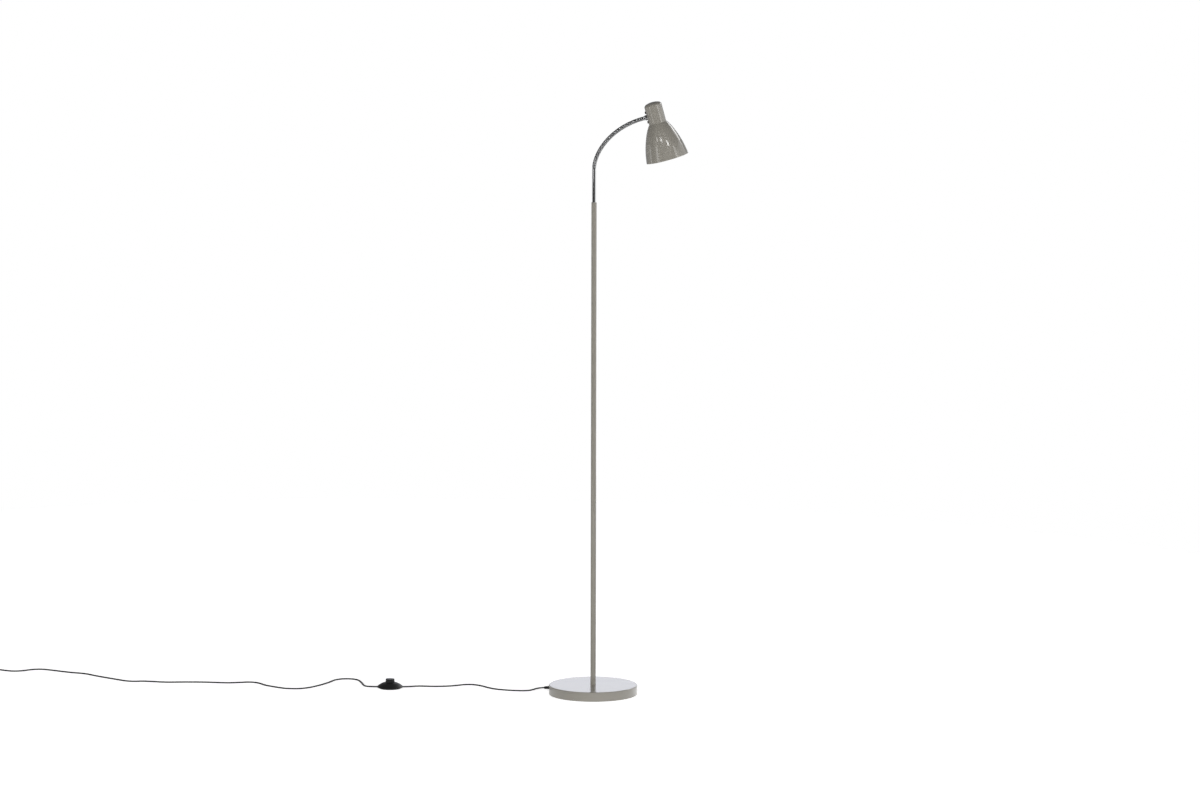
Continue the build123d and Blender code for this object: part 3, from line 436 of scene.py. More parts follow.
toCoil = [
    (-0.4827, 0.0655, 0.0036),
    (-0.4950, 0.0655, 0.0036),
    (-0.5054, 0.0692, 0.0031),
    (-0.5139, 0.0761, 0.0024),
    (-0.5197, 0.0855, 0.0019),
    (-0.5238, 0.1050, 0.0017),
    (-0.5285, 0.1310, 0.0017),
    (-0.5360, 0.1580, 0.0017),
    (-0.5468, 0.1694, 0.0017),
    (-0.5612, 0.1736, 0.0017),
    (-0.5759, 0.1704, 0.0017),
    (-0.5874, 0.1608, 0.0017),
    (-0.5945, 0.1460, 0.0017),
    (-0.6030, 0.1240, 0.0017),
    (-0.6190, 0.0960, 0.0017),
    (-0.6330, 0.0760, 0.0017),
    (-0.6450, 0.0620, 0.0017),
    (-0.6570, 0.0530, 0.0017),
    (-0.6710, 0.0480, 0.0017),
    (-0.6870, 0.0490, 0.0017),
    (-0.7040, 0.0545, 0.0017),
    (-0.7280, 0.0750, 0.0017),
    (-0.7450, 0.0900, 0.0017),
    (-0.7560, 0.1100, 0.0017),
    (-0.7665, 0.1240, 0.0017),
    (-0.7835, 0.1300, 0.0017),
    (-0.8060, 0.1240, 0.0017),
    (-0.8350, 0.1175, 0.0017),
    (-0.8780, 0.1275, 0.0017),
    (-0.9280, 0.1285, 0.0017),
    (-0.9740, 0.1245, 0.0017),
    (-1.0060, 0.1340, 0.0017),
    (-1.0270, 0.1385, 0.0017),
    (-1.0460, 0.1340, 0.0017),
    (-1.0660, 0.1400, 0.0017),
    (-1.0860, 0.1580, 0.0017),
    (-1.1160, 0.1830, 0.0017),
    (-1.1410, 0.2060, 0.0017),
    (-1.1640, 0.2310, 0.0017),
    (-1.2010, 0.2450, 0.0017),
    (-1.2430, 0.2720, 0.0017),
    (-1.2670, 0.2855, 0.0017),
    (-1.2850, 0.2835, 0.0017),
    (-1.2990, 0.2740, 0.0017),
    (-1.3110, 0.2640, 0.0017),
    (-1.3260, 0.2590, 0.0017),
    (-1.3430, 0.2625, 0.0017),
    (-1.3610, 0.2745, 0.0018),
    (-1.3832, 0.2870, 0.00225),
]


def coilSpot(angle):  # radius and height: in on the floor, up while it reverses, out on top
    lower = math.tau * coil["layerTurns"]
    climbed = lower + math.pi
    slope = coil["pitch"] / math.tau
    if angle < lower:
        return coil["innerRadius"] + slope * (lower - angle), coil["floor"]
    if angle < climbed:
        past = angle - lower
        share = past / math.pi
        rise = coil["layerStep"] * (3 * share ** 2 - 2 * share ** 3)
        return coil["innerRadius"] - slope * (past - past ** 2 / math.pi), coil["floor"] + rise
    upper = coil["floor"] + coil["layerStep"]
    share = min(max(1 - (climbed + lower - angle) / (math.pi / 2), 0), 1)
    rise = (coil["exitHeight"] - upper) * (3 * share ** 2 - 2 * share ** 3)
    return coil["innerRadius"] + slope * (angle - climbed), upper + rise


def coilPoint(angle, outward=1.0):
    radius, height = coilSpot(angle)
    turn = math.radians(coil["entryAngle"]) + angle
    reach = radius * outward * mm
    return Vector((coil["centre"][0] + reach * math.cos(turn), coil["centre"][1] + reach * math.sin(turn),
                   height * mm))


def coilWay(angle):
    step = 0.001
    way = coilPoint(angle + step) - coilPoint(angle - step)
    return Vector((way.x, way.y, 0)).normalized()


coilTurn = math.tau * (2 * coil["layerTurns"] + 0.5)
coilStart = coilPoint(0) - coilWay(0) * coil["straight"] * mm
coilEnd = coilPoint(coilTurn) + coilWay(coilTurn - 0.002) * coil["straight"] * mm


def coilPoints():
    count = round(coil["perTurn"] * coilTurn / math.tau)
    outward = 1 / math.cos(math.pi / coil["perTurn"])  # the smooth line runs inside its points
    turns = [coilPoint(coilTurn * i / count, outward) for i in range(1, count)]
    return [coilStart] + turns + [coilEnd]


def makeCord(name, route, nodes):  # flat two-core cord lying on its broad side
    curve = bpy.data.curves.new(name, "CURVE")
    curve.dimensions = "3D"
    curve.twist_mode = "Z_UP"
    curve.resolution_u = 6
    curve.bevel_depth = cordSize["thickness"] / 2 * mm
    curve.bevel_resolution = 4
    curve.extrude = (cordSize["width"] - cordSize["thickness"]) / 2 * mm
    curve.use_fill_caps = True
    line = curve.splines.new("NURBS")
    line.points.add(len(route) - 1)
    for point, spot in zip(line.points, route):
        point.co = (*spot, 1)
        point.tilt = math.pi / 2
    line.order_u = 3
    line.use_endpoint_u = True
    piece = bpy.data.objects.new(name, curve)
    bpy.context.scene.collection.objects.link(piece)
    curve.materials.append(finishes["cord_sheath"].material)
    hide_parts(*nodes)
    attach(piece, "stand")
    return piece


switchCord = makeCord("cord_base_to_switch", toSwitch, ["cord_to_switch"])
plugCord = makeCord("cord_switch_to_plug", toCoil + coilPoints(), ["cord_to_plug", "cord_coil"])
print("cords laid")


# ---- light, floor, and the painted reflections and highlights that the gloss shows

studio = {
    "sky": 0.16,  # what the matt side of the surfaces gets from above
    "room": ((0.0, 0.06), (0.22, 0.072), (0.45, 0.14), (0.7, 0.14), (1.0, 0.22)),  # front to back
    "roomTilt": 0.3,  # how much lighter it is on the right
    "paperColour": 0.86,
    "paperGlow": 0.80,
    "glossLeft": 0.45,  # painted reflection: the paper beside the base glows in the gloss only, at this level on the left
    "glossRight": 0.9,
    "glossFar": 0.1,
    "glossTurn": 4.0,  # from left to right, a share for each metre
    "glossFade": 6.0,  # outwards, a share for each metre
    "glossKept": 0.9,
    "paperCentre": (-0.5, 0.0),
    "paperRadius": 2.8,
    # painted reflection: the sweep glows in the gloss only
    "sweepRadius": 3.2,
    "sweepHeight": 1.55,
    "sweepFrom": 104.0,  # degrees round from the camera's side
    "sweepLeft": (0.30, 0.30, 0.31, 1),
    "sweepMiddle": (1.30, 1.32, 1.42, 1),
    "sweepRight": (0.95, 0.95, 0.95, 1),
    "sweepTurns": (0.36, 0.44, 0.58, 0.66),  # shares of its width between which the tints change
    "eye": (0.13, 0.0, 1.29),  # the painted highlight panels are aimed from the head
    "lampTarget": (0.0, 0.0, 0.75),
    "lampReach": 5.0,
}


def wayTo(azimuth, elevation):  # degrees, the azimuth from the camera's side
    turn, lift = math.radians(azimuth), math.radians(elevation)
    return Vector((math.sin(turn) * math.cos(lift), -math.cos(turn) * math.cos(lift), math.sin(lift)))


def aimed(spot, way):  # at that spot, with Z along that way
    return Matrix.Translation(spot) @ way.to_track_quat("Z", "Y").to_matrix().to_4x4()


def glossyOnly(card):
    card.visible_camera = False
    card.visible_diffuse = False
    card.visible_shadow = False
    card.visible_transmission = False
    card.visible_volume_scatter = False


def makeWorld():
    world = bpy.data.worlds.new("studio")
    bpy.context.scene.world = world
    f = Finish(world)
    background = f.tree.nodes["Background"]
    direction = f.node("TexCoord", out=0)
    across, behind = (f.node("SeparateXYZ", {}, {0: direction}, out=i) for i in (0, 1))
    stops = [(spot, grey(level)) for spot, level in studio["room"]]
    room = f.node("ValToRGB", {"stops": stops}, {0: behind * 0.5 + 0.5})
    share = across * studio["roomTilt"] + 1.0
    tilt = f.node("CombineColor", {}, {0: share, 1: share, 2: share})
    room = f.node("Mix", {"data_type": "RGBA", "blend_type": "MULTIPLY"},
                  {"Factor": 1.0, 6: room, 7: tilt}, out=2)
    lit = f.blend(f.ray("Glossy"), grey(studio["sky"]), room)
    f.plug(background, "Color", f.blend(f.seen(), lit, grey(1.0)))
    background.inputs["Strength"].default_value = 1.0


def addStage(bm, name, material):
    mesh = bpy.data.meshes.new(name)
    bm.to_mesh(mesh)
    bm.free()
    mesh.materials.append(material)
    made = bpy.data.objects.new(name, mesh)
    bpy.context.scene.collection.objects.link(made)
    return made


def makePaper():  # white to the camera and it still takes the shadow; in the gloss it shows a painted reflection, a glow lighter on the right that fades outwards
    bm = bmesh.new()
    bmesh.ops.create_circle(bm, cap_ends=True, segments=96, radius=studio["paperRadius"],
                            matrix=Matrix.Translation((*studio["paperCentre"], -0.0001)))
    f = Finish(bpy.data.materials.new("paper"))
    # painted reflection: in the gloss only the paper glows, lighter to the right and fading outwards
    spot = f.place()
    sideways = f.node("SeparateXYZ", {}, {0: spot}) * studio["glossTurn"] + 0.5
    reach = f.node("VectorMath", {"operation": "LENGTH"}, {0: spot}, out=1)
    away = reach * studio["glossFade"] - studio["glossKept"]
    near = f.blend(sideways, grey(studio["glossLeft"]), grey(studio["glossRight"]))
    paintedReflection = f.blend(away, near, grey(studio["glossFar"]))
    inGloss = f.blend(f.ray("Glossy"), grey(0.0), paintedReflection)
    f.shade({"Base Color": grey(studio["paperColour"]), "Roughness": 0.9, "Specular IOR Level": 0.0,
             "Emission Color": f.blend(f.seen(), inGloss, grey(studio["paperGlow"]))})
    f.shader.inputs["Emission Strength"].default_value = 1.0
    addStage(bm, "paper", f.material)


def makeSweep():  # painted reflection: a glowing band seen only in the gloss, standing for the paper's upright part behind the lamp, lighter in the middle
    bm = bmesh.new()
    turn = math.radians(studio["sweepFrom"] - 90)
    foot = Vector((math.cos(turn), math.sin(turn), 0)) * studio["sweepRadius"]
    ends = [bm.verts.new(foot), bm.verts.new(foot + Vector((0, 0, studio["sweepHeight"])))]
    bmesh.ops.spin(bm, geom=ends + [bm.edges.new(ends)], cent=(0, 0, 0), axis=(0, 0, 1), dvec=(0, 0, 0),
                   angle=math.radians(360 - 2 * studio["sweepFrom"]), steps=48, use_merge=False,
                   use_normal_flip=False, use_duplicate=False)
    f = Finish(bpy.data.materials.new("sweepGlow"))
    across = f.node("SeparateXYZ", {}, {0: f.place()})
    share = across * (0.5 / studio["sweepRadius"]) + 0.5
    left, middle, right = studio["sweepLeft"], studio["sweepMiddle"], studio["sweepRight"]
    spots = (0.0, *studio["sweepTurns"], 1.0)
    stops = list(zip(spots, (left, left, middle, middle, right, right)))
    f.emit(f.node("ValToRGB", {"stops": stops}, {0: share}))
    glossyOnly(addStage(bm, "sweep", f.material))


panels = {  # painted highlights, glowing cards seen only in the gloss: azimuth from the camera's side, width, lowest, highest, level, reach
    "stripLeft": (-102, 16, -28, 1, 2.0, 4.5),
    "stripFrontLeft": (-48, 11, -17, 8, 1.8, 0.6),
    "boxFrontRight": (54, 11, 1, 30, 2.9, 4.5),
    "windowBackRight": (138, 26, 19, 31, 4.0, 4.5),
    "spotLeft": (-43, 9, 19, 24.5, 5.0, 4.5),
    "spotMiddle": (-17, 9, 26, 31.5, 12.0, 4.5),
    "spotRight": (22, 12, 29, 35, 12.0, 4.5),
    "wallRight": (93, 74, -22, 28, 1.05, 4.5),
}


def makePanels():
    eye = Vector(studio["eye"])
    for name, (azimuth, width, lowest, highest, level, reach) in panels.items():
        way = wayTo(azimuth, (lowest + highest) / 2)
        across = 2 * reach * math.tan(math.radians(width) / 2)
        tall = 2 * reach * math.tan(math.radians(highest - lowest) / 2)
        bm = bmesh.new()
        bmesh.ops.create_grid(bm, x_segments=1, y_segments=1, size=0.5)
        place = aimed(eye + way * reach, -way)
        bmesh.ops.transform(bm, matrix=place @ Matrix.Diagonal((across, tall, 1, 1)), verts=bm.verts)
        # painted highlight: the card glows in the gloss only
        f = Finish(bpy.data.materials.new(name + "Glow"))
        f.emit(grey(level))
        glossyOnly(addStage(bm, name, f.material))


lamps = {  # soft light: azimuth, elevation, width, height, power in watts
    "softRight": (52, 8, 2.0, 2.0, 104),
    "softLeft": (-50, 6, 2.0, 2.0, 96),
    "softFront": (4, 6, 3.0, 1.6, 62),
}


def makeLamps():
    for name, (azimuth, elevation, width, height, power) in lamps.items():
        way = wayTo(azimuth, elevation)
        data = bpy.data.lights.new(name, "AREA")
        data.shape = "RECTANGLE"
        data.size, data.size_y = width, height
        data.energy = power
        lamp = bpy.data.objects.new(name, data)
        bpy.context.scene.collection.objects.link(lamp)
        lamp.matrix_world = aimed(Vector(studio["lampTarget"]) + way * studio["lampReach"], way)
        lamp.visible_glossy = False
        lamp.visible_camera = False


makeWorld()
makePaper()
makeSweep()
makePanels()
makeLamps()
bpy.context.scene.view_settings.view_transform = "Standard"
print("studio made")


# ---- base

base = {
    "radius": 100.0,
    "wall": 1.2,
    "edge": 1.8,
    "edgeSteps": 8,
    "lowEdge": 0.3,
    "hole": 4.05,
    "padEdge": 0.4,
}


def makeBase():
    low, high = boxOf("base_cover")
    r, wall = base["radius"], base["wall"]
    bm = turned([(r, low.z), (r, high.z), (base["hole"], high.z), (base["hole"], high.z - wall),
                 (r - wall, high.z - wall), (r - wall, low.z)], 160, True)
    rounded(bm, r, high.z, base["edge"], base["edgeSteps"])
    rounded(bm, r, low.z, base["lowEdge"], 2)
    addPiece(bm, "base_top_cover", "stand", "lacquer", ["base_cover"])
    low, high = boxOf("base_pad")
    bm = turned([(0, low.z), (high.x, low.z), (high.x, high.z), (0, high.z)], 128)
    rounded(bm, high.x, low.z, base["padEdge"], 2)
    addPiece(bm, "base_soft_pad", "stand", "pad_rubber", ["base_pad"])


gland = {
    "azimuth": 156.0,
    "droop": 5.0,
    "height": 7.0,
    "rings": 4,
    "rootRadius": 4.5,
    "tipRadius": 3.4,
    "groove": 0.55,
    "grooveShape": (0.1, 0.9),  # shares of a band
    "ringShape": ((0.02, 0.12), (0.25, 0.0), (0.75, 0.0), (0.98, 0.12)),  # share of a band, depth
    "length": 20.0,
    "inside": 3.0,
}


def makeGland():  # ringed boot that tapers along the cord
    bands = 2 * gland["rings"] + 1
    step = gland["length"] / bands
    profile = [(0, -gland["inside"]), (gland["rootRadius"], -gland["inside"]), (gland["rootRadius"], 0)]
    for i in range(bands):
        share = i / (bands - 1)
        r = gland["rootRadius"] + (gland["tipRadius"] - gland["rootRadius"]) * share
        start = i * step
        if i % 2:
            profile += [(r - gland["groove"], start + step * part) for part in gland["grooveShape"]]
        else:
            profile += [(r - depth, start + step * part) for part, depth in gland["ringShape"]]
    profile.append((0, gland["length"]))
    turn, droop = math.radians(gland["azimuth"]), math.radians(gland["droop"])
    outward = Vector((math.cos(turn), math.sin(turn), -math.tan(droop))).normalized()
    root = Vector((base["radius"] * math.cos(turn), base["radius"] * math.sin(turn), gland["height"])) * mm
    addPiece(turned(profile, 48), "cord_strain_relief", "stand", "black_plastic", ["cord_gland"],
             aimed(root, outward), 50)


makeBase()
makeGland()
print("base made")


# ---- sizes of the gooseneck, which the sleeve and the ferrule share

neck = {
    "radius": 4.5,
    "ribDepth": 0.3,
    "ribsPerLink": 4,
    "ribPoints": 8,
    "steps": 32,
    "gap": 0.4,  # from a pivot to the faces beside it
    "ballRadius": 3.75,
    "ballDepth": 1.1,
    "socket": 3.95,
    "socketDepth": 2.0,
    "socketFloor": 0.4,
    "bore": 3.0,
    "endHeading": 74.5,
    "flexRadius": 2.2,
    "flexGap": 0.3,
    "flexBelow": 20.0,
    "flexBeyond": 16.0,
}

hinges = [j for j in frame["joints"] if j["type"] == "hinge"]
pivots = [Vector(j["pos_m"]) for j in hinges]
linkLength = (pivots[1] - pivots[0]).length
neckEnd = math.radians(neck["endHeading"])
endWay = Vector((math.sin(neckEnd), 0, math.cos(neckEnd)))
up = Vector((0, 0, 1))


# ---- pole

pole = {
    "radius": 6.0,
    "wall": 1.0,
    "jointEdge": 0.3,
    "bushFit": 0.05,
    "bushEdge": 0.5,
    "bushBore": 4.05,
    "sleeveRadius": 4.5,
    "sleeveBore": 4.0,
    "sleeveThroat": 2.8,
    "sleeveEdge": 0.4,
}


def makePole():
    for section in ("lower", "middle", "upper"):
        low, high = boxOf("pole_" + section)
        r, inner = pole["radius"], pole["radius"] - pole["wall"]
        bm = turned([(r, low.z), (r, high.z), (inner, high.z), (inner, low.z)], 64, True)
        for height in (low.z, high.z):
            rounded(bm, r, height, pole["jointEdge"], 3)
        addPiece(bm, "pole_tube_" + section, "stand", "lacquer", ["pole_" + section])
    low, high = boxOf("pole_top_bush")
    upper = boxOf("pole_upper")[1]
    inner = pole["radius"] - pole["wall"] - pole["bushFit"]
    bm = turned([(pole["bushBore"], low.z), (inner, low.z), (inner, upper.z), (pole["radius"], upper.z),
                 (pole["radius"], high.z), (pole["bushBore"], high.z)], 64, True)
    rounded(bm, pole["radius"], high.z, pole["bushEdge"], 3)
    rounded(bm, pole["radius"], upper.z, pole["jointEdge"], 3)
    addPiece(bm, "pole_end_bush", "stand", "lacquer", ["pole_top_bush"])
    sleeveLow, sleeveHigh = boxOf("gooseneck_sleeve")
    r, bore, throat = pole["sleeveRadius"], pole["sleeveBore"], pole["sleeveThroat"]
    floor = pivots[0].z / mm - neck["socketDepth"]
    bm = turned([(r, high.z), (r, sleeveHigh.z), (neck["socket"], sleeveHigh.z), (neck["socket"], floor),
                 (throat, floor - neck["socketFloor"]), (throat, sleeveLow.z), (bore, sleeveLow.z),
                 (bore, high.z)], 64, True)
    rounded(bm, r, sleeveHigh.z, pole["sleeveEdge"], 3)
    addPiece(bm, "neck_sleeve", "stand", "plated_steel", ["gooseneck_sleeve"])


makePole()
print("pole made")


# ---- gooseneck: a ribbed piece on each link, whose round end turns in the socket of the one before

def wayAt(i):  # direction of the neck at a pivot
    if i == 0:
        return up
    if i == len(pivots) - 1:
        return endWay
    return ((pivots[i] - pivots[i - 1]).normalized() + (pivots[i + 1] - pivots[i]).normalized()).normalized()


def neckPoint(share):  # point and direction at a share counted in links, straight past both ends
    last = len(pivots) - 1
    if share <= 0:
        return pivots[0] + up * share * linkLength, up
    if share >= last:
        return pivots[last] + endWay * (share - last) * linkLength, endWay
    i = int(share)
    t = share - i
    a, b = pivots[i], pivots[i + 1]
    size = (b - a).length
    u, v = wayAt(i) * size, wayAt(i + 1) * size
    point = a * (2 * t ** 3 - 3 * t ** 2 + 1) + u * (t ** 3 - 2 * t ** 2 + t)
    point += b * (3 * t ** 2 - 2 * t ** 3) + v * (t ** 3 - t ** 2)
    way = a * (6 * t ** 2 - 6 * t) + u * (3 * t ** 2 - 4 * t + 1)
    way += b * (6 * t - 6 * t ** 2) + v * (3 * t ** 2 - 2 * t)
    return point, way.normalized()


def ballEnd(pivot, unit):  # outline of the round end below a face, unit is a millimetre on that scale
    r, depth = neck["ballRadius"], neck["ballDepth"]
    spots = [(neck["bore"], pivot - depth * unit)]
    for share in (1.0, 0.7, 0.35, 0.0):
        spots.append((math.sqrt(r * r - (depth * share) ** 2), pivot - depth * share * unit))
    return spots + [(r, pivot + neck["gap"] * unit)]


def linkTube(low, high):  # along Z, which counts links
    unit = mm / linkLength
    start, end = low + neck["gap"] * unit, high - neck["gap"] * unit
    points = neck["ribsPerLink"] * neck["ribPoints"]
    outline = ballEnd(low, unit)
    for i in range(points + 1):
        t = i / neck["ribPoints"] % 1
        radius = neck["radius"] - neck["ribDepth"] * abs(2 * t - 1) ** 3
        outline.append((radius, start + (end - start) * i / points))
    outline += [(neck["socket"], end), (neck["socket"], high - neck["socketDepth"] * unit),
                (neck["bore"], high - (neck["socketDepth"] + neck["socketFloor"]) * unit)]
    return turned(outline, neck["steps"], True)


def alongNeck(bm):  # bends a straight tube, whose height counts links, to the neck's line
    for v in bm.verts:
        point, way = neckPoint(v.co.z)
        side = Vector((way.z, 0, -way.x))
        v.co = point / mm + side * v.co.x + Vector((0, v.co.y, 0))
    bmesh.ops.recalc_face_normals(bm, faces=bm.faces)


def flexPiece(number, low, high, body):
    r, middle = neck["flexRadius"], (low + high) / 2
    bm = turned([(0, low), (r, low), (r, middle), (r, high), (0, high)], 20)
    alongNeck(bm)
    addPiece(bm, f"neck_flex_{number:02d}", body, "cord_sheath", ["gooseneck_flex"])


def makeNeck():
    last = len(pivots) - 1
    gap = neck["flexGap"] * mm / linkLength
    flexPiece(0, -neck["flexBelow"] * mm / linkLength, -gap, "stand")
    for i in range(1, last + 1):
        bm = linkTube(i - 1, i)
        alongNeck(bm)
        body = f"link_{i:02d}"
        addPiece(bm, f"neck_ribs_{i:02d}", body, "plated_steel", ["gooseneck_" + body], sharp=50,
                 finish="ribbedPlate")
        flexPiece(i, i - 1 + gap, i - gap, body)
    flexPiece(last + 1, last + gap, last + neck["flexBeyond"] * mm / linkLength, "head")


makeNeck()
print("gooseneck made")


# ---- head, made on its own axis with Z pointing down it, then placed

head = {
    "cupRadius": 20.0,
    "cupTop": -7.0,  # the photograph's cup stands this much higher than the solid one
    "cupEnd": 41.0,
    "cupWall": 1.2,
    "cupEdge": 5.0,
    "cupCrown": 2.6,
    "entryDepth": 23.5,
    "ferrule": 4.5,
    "collar": 4.5,
    "collarRadius": 6.0,
    "collarBore": 4.05,
    "collarEdge": 0.9,
    "ferruleEdge": 0.3,
    "rimRadius": 48.5,
    "rimDepth": 123.5,
    "bellWall": 0.8,
    "bellSlope": 37.0,
    "shoulderDepth": 60.0,
    "shoulderRadius": 31.2,
    "webDepth": 46.5,
    "webClear": 0.5,  # the wall's points keep this far from the web
    "holderHole": 13.6,
    "bulbRadius": 20.0,
    "throatRadius": 7.5,
    "throatCurve": 12.0,
    "bulbEnd": 111.15,
    "bulbStart": 65.15,
}

headAxis = Vector((math.cos(neckEnd), 0, -math.sin(neckEnd)))
headTop = (pivots[-1] + endWay * (head["ferrule"] + head["collar"] + head["cupRadius"]) * mm
           - headAxis * head["entryDepth"] * mm)
headTurn = Matrix((endWay, headAxis.cross(endWay), headAxis)).transposed().to_4x4()
headPlace = Matrix.Translation(headTop) @ headTurn


def makeCup():
    r, wall, edge, crown = head["cupRadius"], head["cupWall"], head["cupEdge"], head["cupCrown"]
    span = r - edge
    domeRadius = (span * span + crown * crown) / (2 * crown)
    reach = math.degrees(math.asin(span / domeRadius))
    dome = arc((0, domeRadius), domeRadius, -90, -90 + reach, 12)
    way = (math.cos(math.radians(reach)), math.sin(math.radians(reach)))
    corner = tangentArc(dome[-1], way, (r, crown + edge), 12)
    outer = [(radius, head["cupTop"] + depth) for radius, depth in dome + corner[1:]]
    outer += [(r, head["cupEnd"] / 2), (r, head["cupEnd"])]
    inner = list(reversed(setIn(outer, wall)))
    inner[0] = (r - wall, head["cupEnd"])
    inner[-1] = (0, head["cupTop"] + wall)
    addPiece(turned(outer + inner, 96), "neck_cup_shell", "head", "lacquer", ["neck_cup"], headPlace)


def makeBell():
    slope = math.radians(head["bellSlope"])
    start = (head["cupRadius"], head["cupEnd"])
    shoulder = (head["shoulderRadius"], head["shoulderDepth"])
    rim = (head["rimRadius"], head["rimDepth"])
    upper = tangentArc(start, (math.sin(slope), math.cos(slope)), shoulder, 14)
    lower = tangentArc(shoulder, tangentWay(upper), rim, 26)
    outer = upper + lower[1:]
    web, wall, clear = head["webDepth"], head["bellWall"], head["webClear"]
    inner = list(reversed(setIn(outer, wall)))
    inner[0] = (inner[0][0], rim[1])
    below = [spot for spot in inner if spot[1] > web + wall + clear]
    above = [spot for spot in inner if spot[1] < web - clear]
    profile = outer + below + [(head["holderHole"], web + wall), (head["holderHole"], web)] + above
    piece = addPiece(turned(profile, 128, True), "shade_shell", "head", "lacquer", ["shade_bell"], headPlace)
    piece.data.materials.append(finishes["innerEnamel"].material)  # for the inner faces below the web
    for face in piece.data.polygons:
        away = face.center - headTop
        depth = away.dot(headAxis)
        radial = away - headAxis * depth
        facesIn = face.normal.dot(radial) < 0 or face.normal.dot(headAxis) > 0.9
        if depth > (web + wall - 0.1) * mm and facesIn:
            face.material_index = 1


def tangentWay(spots):  # the direction in which a round stretch ends
    (x0, y0), (x1, y1), (x2, y2) = spots[-3:]
    first, second = math.atan2(y1 - y0, x1 - x0), math.atan2(y2 - y1, x2 - x1)
    end = second + (second - first) / 2
    return (math.cos(end), math.sin(end))


def makeBulb():
    globe, throat, curve = head["bulbRadius"], head["throatRadius"], head["throatCurve"]
    centre = head["bulbEnd"] - globe
    drop = math.sqrt((globe + curve) ** 2 - (throat + curve) ** 2)
    reach = math.degrees(math.atan2(drop, throat + curve))
    hollow = arc((throat + curve, centre - drop), curve, 180, 180 - reach, 10)
    ball = arc((0, centre), globe, -reach, 90, 32)
    profile = [(0, head["bulbStart"]), (throat, head["bulbStart"])] + hollow + ball[1:]
    addPiece(turned(profile, 80), "bulb_globe", "head", "bulb_glass", ["bulb_glass"], headPlace)


def makeCollar():
    entry = Matrix.Translation((0, 0, head["entryDepth"] * mm))
    axisPlace = headPlace @ entry @ Matrix.Rotation(math.pi / 2, 4, "Y")
    outer = -(head["cupRadius"] + head["collar"])
    wall = -head["cupRadius"] + head["cupWall"]
    r, bore = head["collarRadius"], head["collarBore"]
    bm = turned([(bore, outer), (r, outer), (r, wall), (bore, wall)], 48, True)
    rounded(bm, r, outer, head["collarEdge"], 4)
    addPiece(bm, "head_end_collar", "head", "plated_steel", ["head_collar"], axisPlace)
    pivot = outer - head["ferrule"]
    start = pivot + neck["gap"]
    r = neck["radius"]
    bm = turned(ballEnd(pivot, 1) + [(r, start), (r, outer), (neck["bore"], outer)], 48, True)
    rounded(bm, r, start, head["ferruleEdge"], 3)
    addPiece(bm, "neck_end_ferrule", "head", "plated_steel", ["gooseneck_ferrule"], axisPlace)


makeCup()
makeBell()
makeBulb()
makeCollar()
print("head made")


# ---- foot switch

footSwitch = {
    "centre": (-460.7, 65.5, 0.0),
    "radius": 29.75,
    "footRadius": 24.0,
    "widest": 3.0,
    "band": 1.2,
    "rimSlope": 45.0,
    "shoulderRadius": 12.5,
    "shoulderHeight": 14.0,
    "wall": 2.0,
    "skirt": 2.8,  # the wall's width at its lower edge
    "coverEdge": 0.3,
    "opening": 10.55,
    "plateIn": 0.2,
    "plateDown": 0.15,
    "plateRim": 4.0,
    "plateFloor": 1.5,
    "plateEdge": 0.8,
    "buttonRadius": 10.25,
    "buttonEdge": 1.6,
    "buttonWall": 2.0,
    "flange": 1.6,
    "flangeHeight": 1.5,
    "travel": 3.0,
}

spring = {"radius": 4.55, "wire": 0.45, "low": 2.0, "high": 19.7, "turns": 3, "steps": 36, "seat": 1.55}


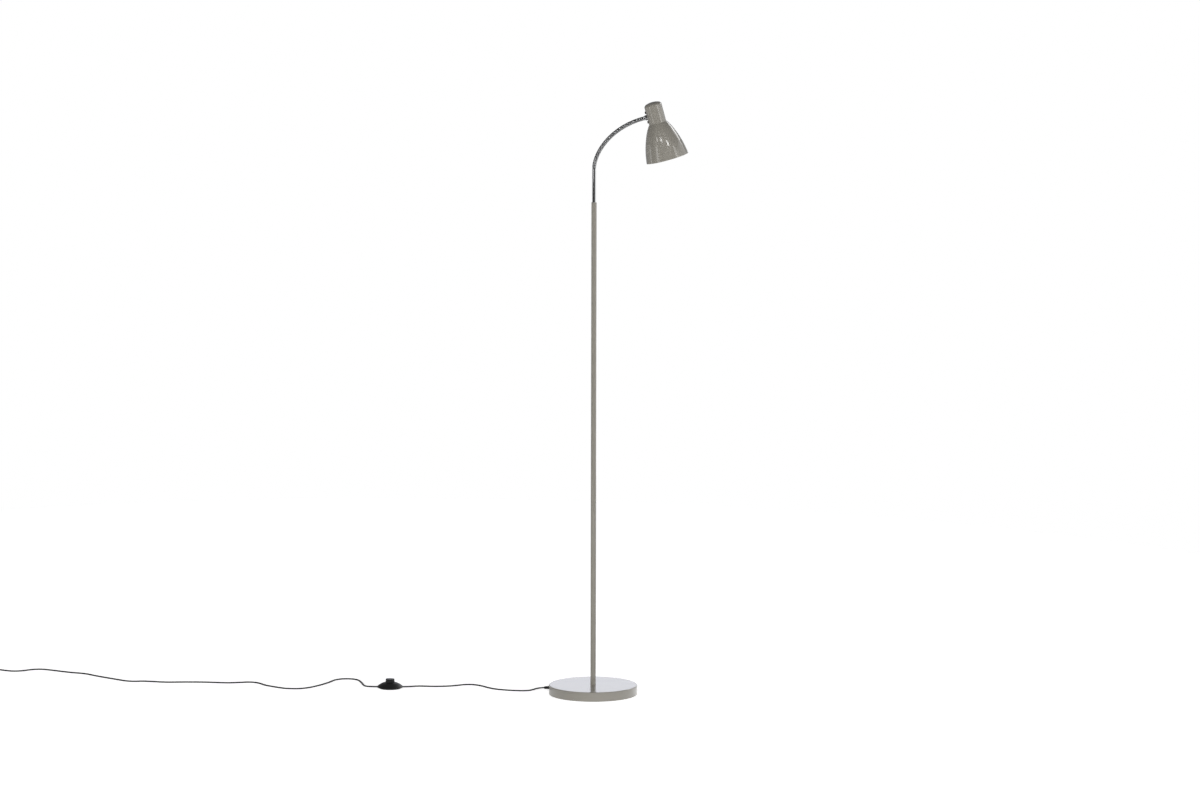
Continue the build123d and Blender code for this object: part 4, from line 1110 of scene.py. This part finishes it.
def makeSwitch():
    s = footSwitch
    place = Matrix.Translation(Vector(s["centre"]) * mm)
    slope = math.radians(s["rimSlope"])
    rim = (s["radius"], s["widest"] + s["band"])
    shoulder = (s["shoulderRadius"], s["shoulderHeight"])
    dome = tangentArc(rim, (-math.cos(slope), math.sin(slope)), shoulder, 16)
    outer = [(s["radius"], s["widest"])] + dome + [(s["opening"], shoulder[1])]
    inner = [(s["opening"], shoulder[1] - s["wall"]), (shoulder[0], shoulder[1] - s["wall"])]
    inner += list(reversed(setIn(dome, s["wall"])))[1:]
    inner += [(s["radius"] - s["skirt"], s["widest"])]
    bm = turned(outer + inner, 96, True)
    rounded(bm, s["radius"], s["widest"], s["coverEdge"], 2)
    addPiece(bm, "switch_dome", "stand", "black_plastic", ["foot_switch_cover"], place)
    rimRadius, rimHeight = s["radius"] - s["plateIn"], s["widest"] - s["plateDown"]
    hollow, floor = rimRadius - s["plateRim"], s["plateFloor"]
    bm = turned([(0, 0), (s["footRadius"], 0), (rimRadius, rimHeight), (hollow, rimHeight),
                 (hollow, floor), (0, floor)], 96)
    rounded(bm, s["footRadius"], 0, s["plateEdge"], 3)
    addPiece(bm, "switch_under_plate", "stand", "black_plastic", ["foot_switch_bottom"], place)
    low, high = boxOf("foot_switch_button")
    r, wall, flangeTop = s["buttonRadius"], s["buttonWall"], low.z + s["flangeHeight"]
    bm = turned([(0, high.z), (r, high.z), (r, flangeTop), (r + s["flange"], flangeTop),
                 (r + s["flange"], low.z), (r - wall, low.z), (r - wall, high.z - wall),
                 (0, high.z - wall)], 64)
    rounded(bm, r, high.z, s["buttonEdge"], 5)
    addPiece(bm, "switch_push_button", "switch_button", "black_gloss_plastic", ["foot_switch_button"], place)


def makeSpring():
    low, high, turns = spring["low"], spring["high"], spring["turns"]
    steps = spring["steps"] * turns
    start = Matrix.Translation((spring["radius"], 0, low)) @ Matrix.Rotation(math.pi / 2, 4, "X")
    bm = bmesh.new()
    bmesh.ops.create_circle(bm, cap_ends=False, segments=10, radius=spring["wire"], matrix=start)
    bmesh.ops.spin(bm, geom=bm.verts[:] + bm.edges[:], cent=(0, 0, 0), axis=(0, 0, 1),
                   dvec=(0, 0, (high - low) / steps), angle=math.tau * turns, steps=steps,
                   use_merge=False, use_normal_flip=False, use_duplicate=False)
    bmesh.ops.holes_fill(bm, edges=bm.edges[:], sides=0)
    bmesh.ops.recalc_face_normals(bm, faces=bm.faces)
    place = Matrix.Translation(Vector(footSwitch["centre"]) * mm)
    piece = addPiece(bm, "switch_return_spring", "stand", "bare_steel", ["foot_switch_spring"], place)
    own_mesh(piece)


makeSwitch()
makeSpring()
print("foot switch made")


# ---- done

print("scene made")
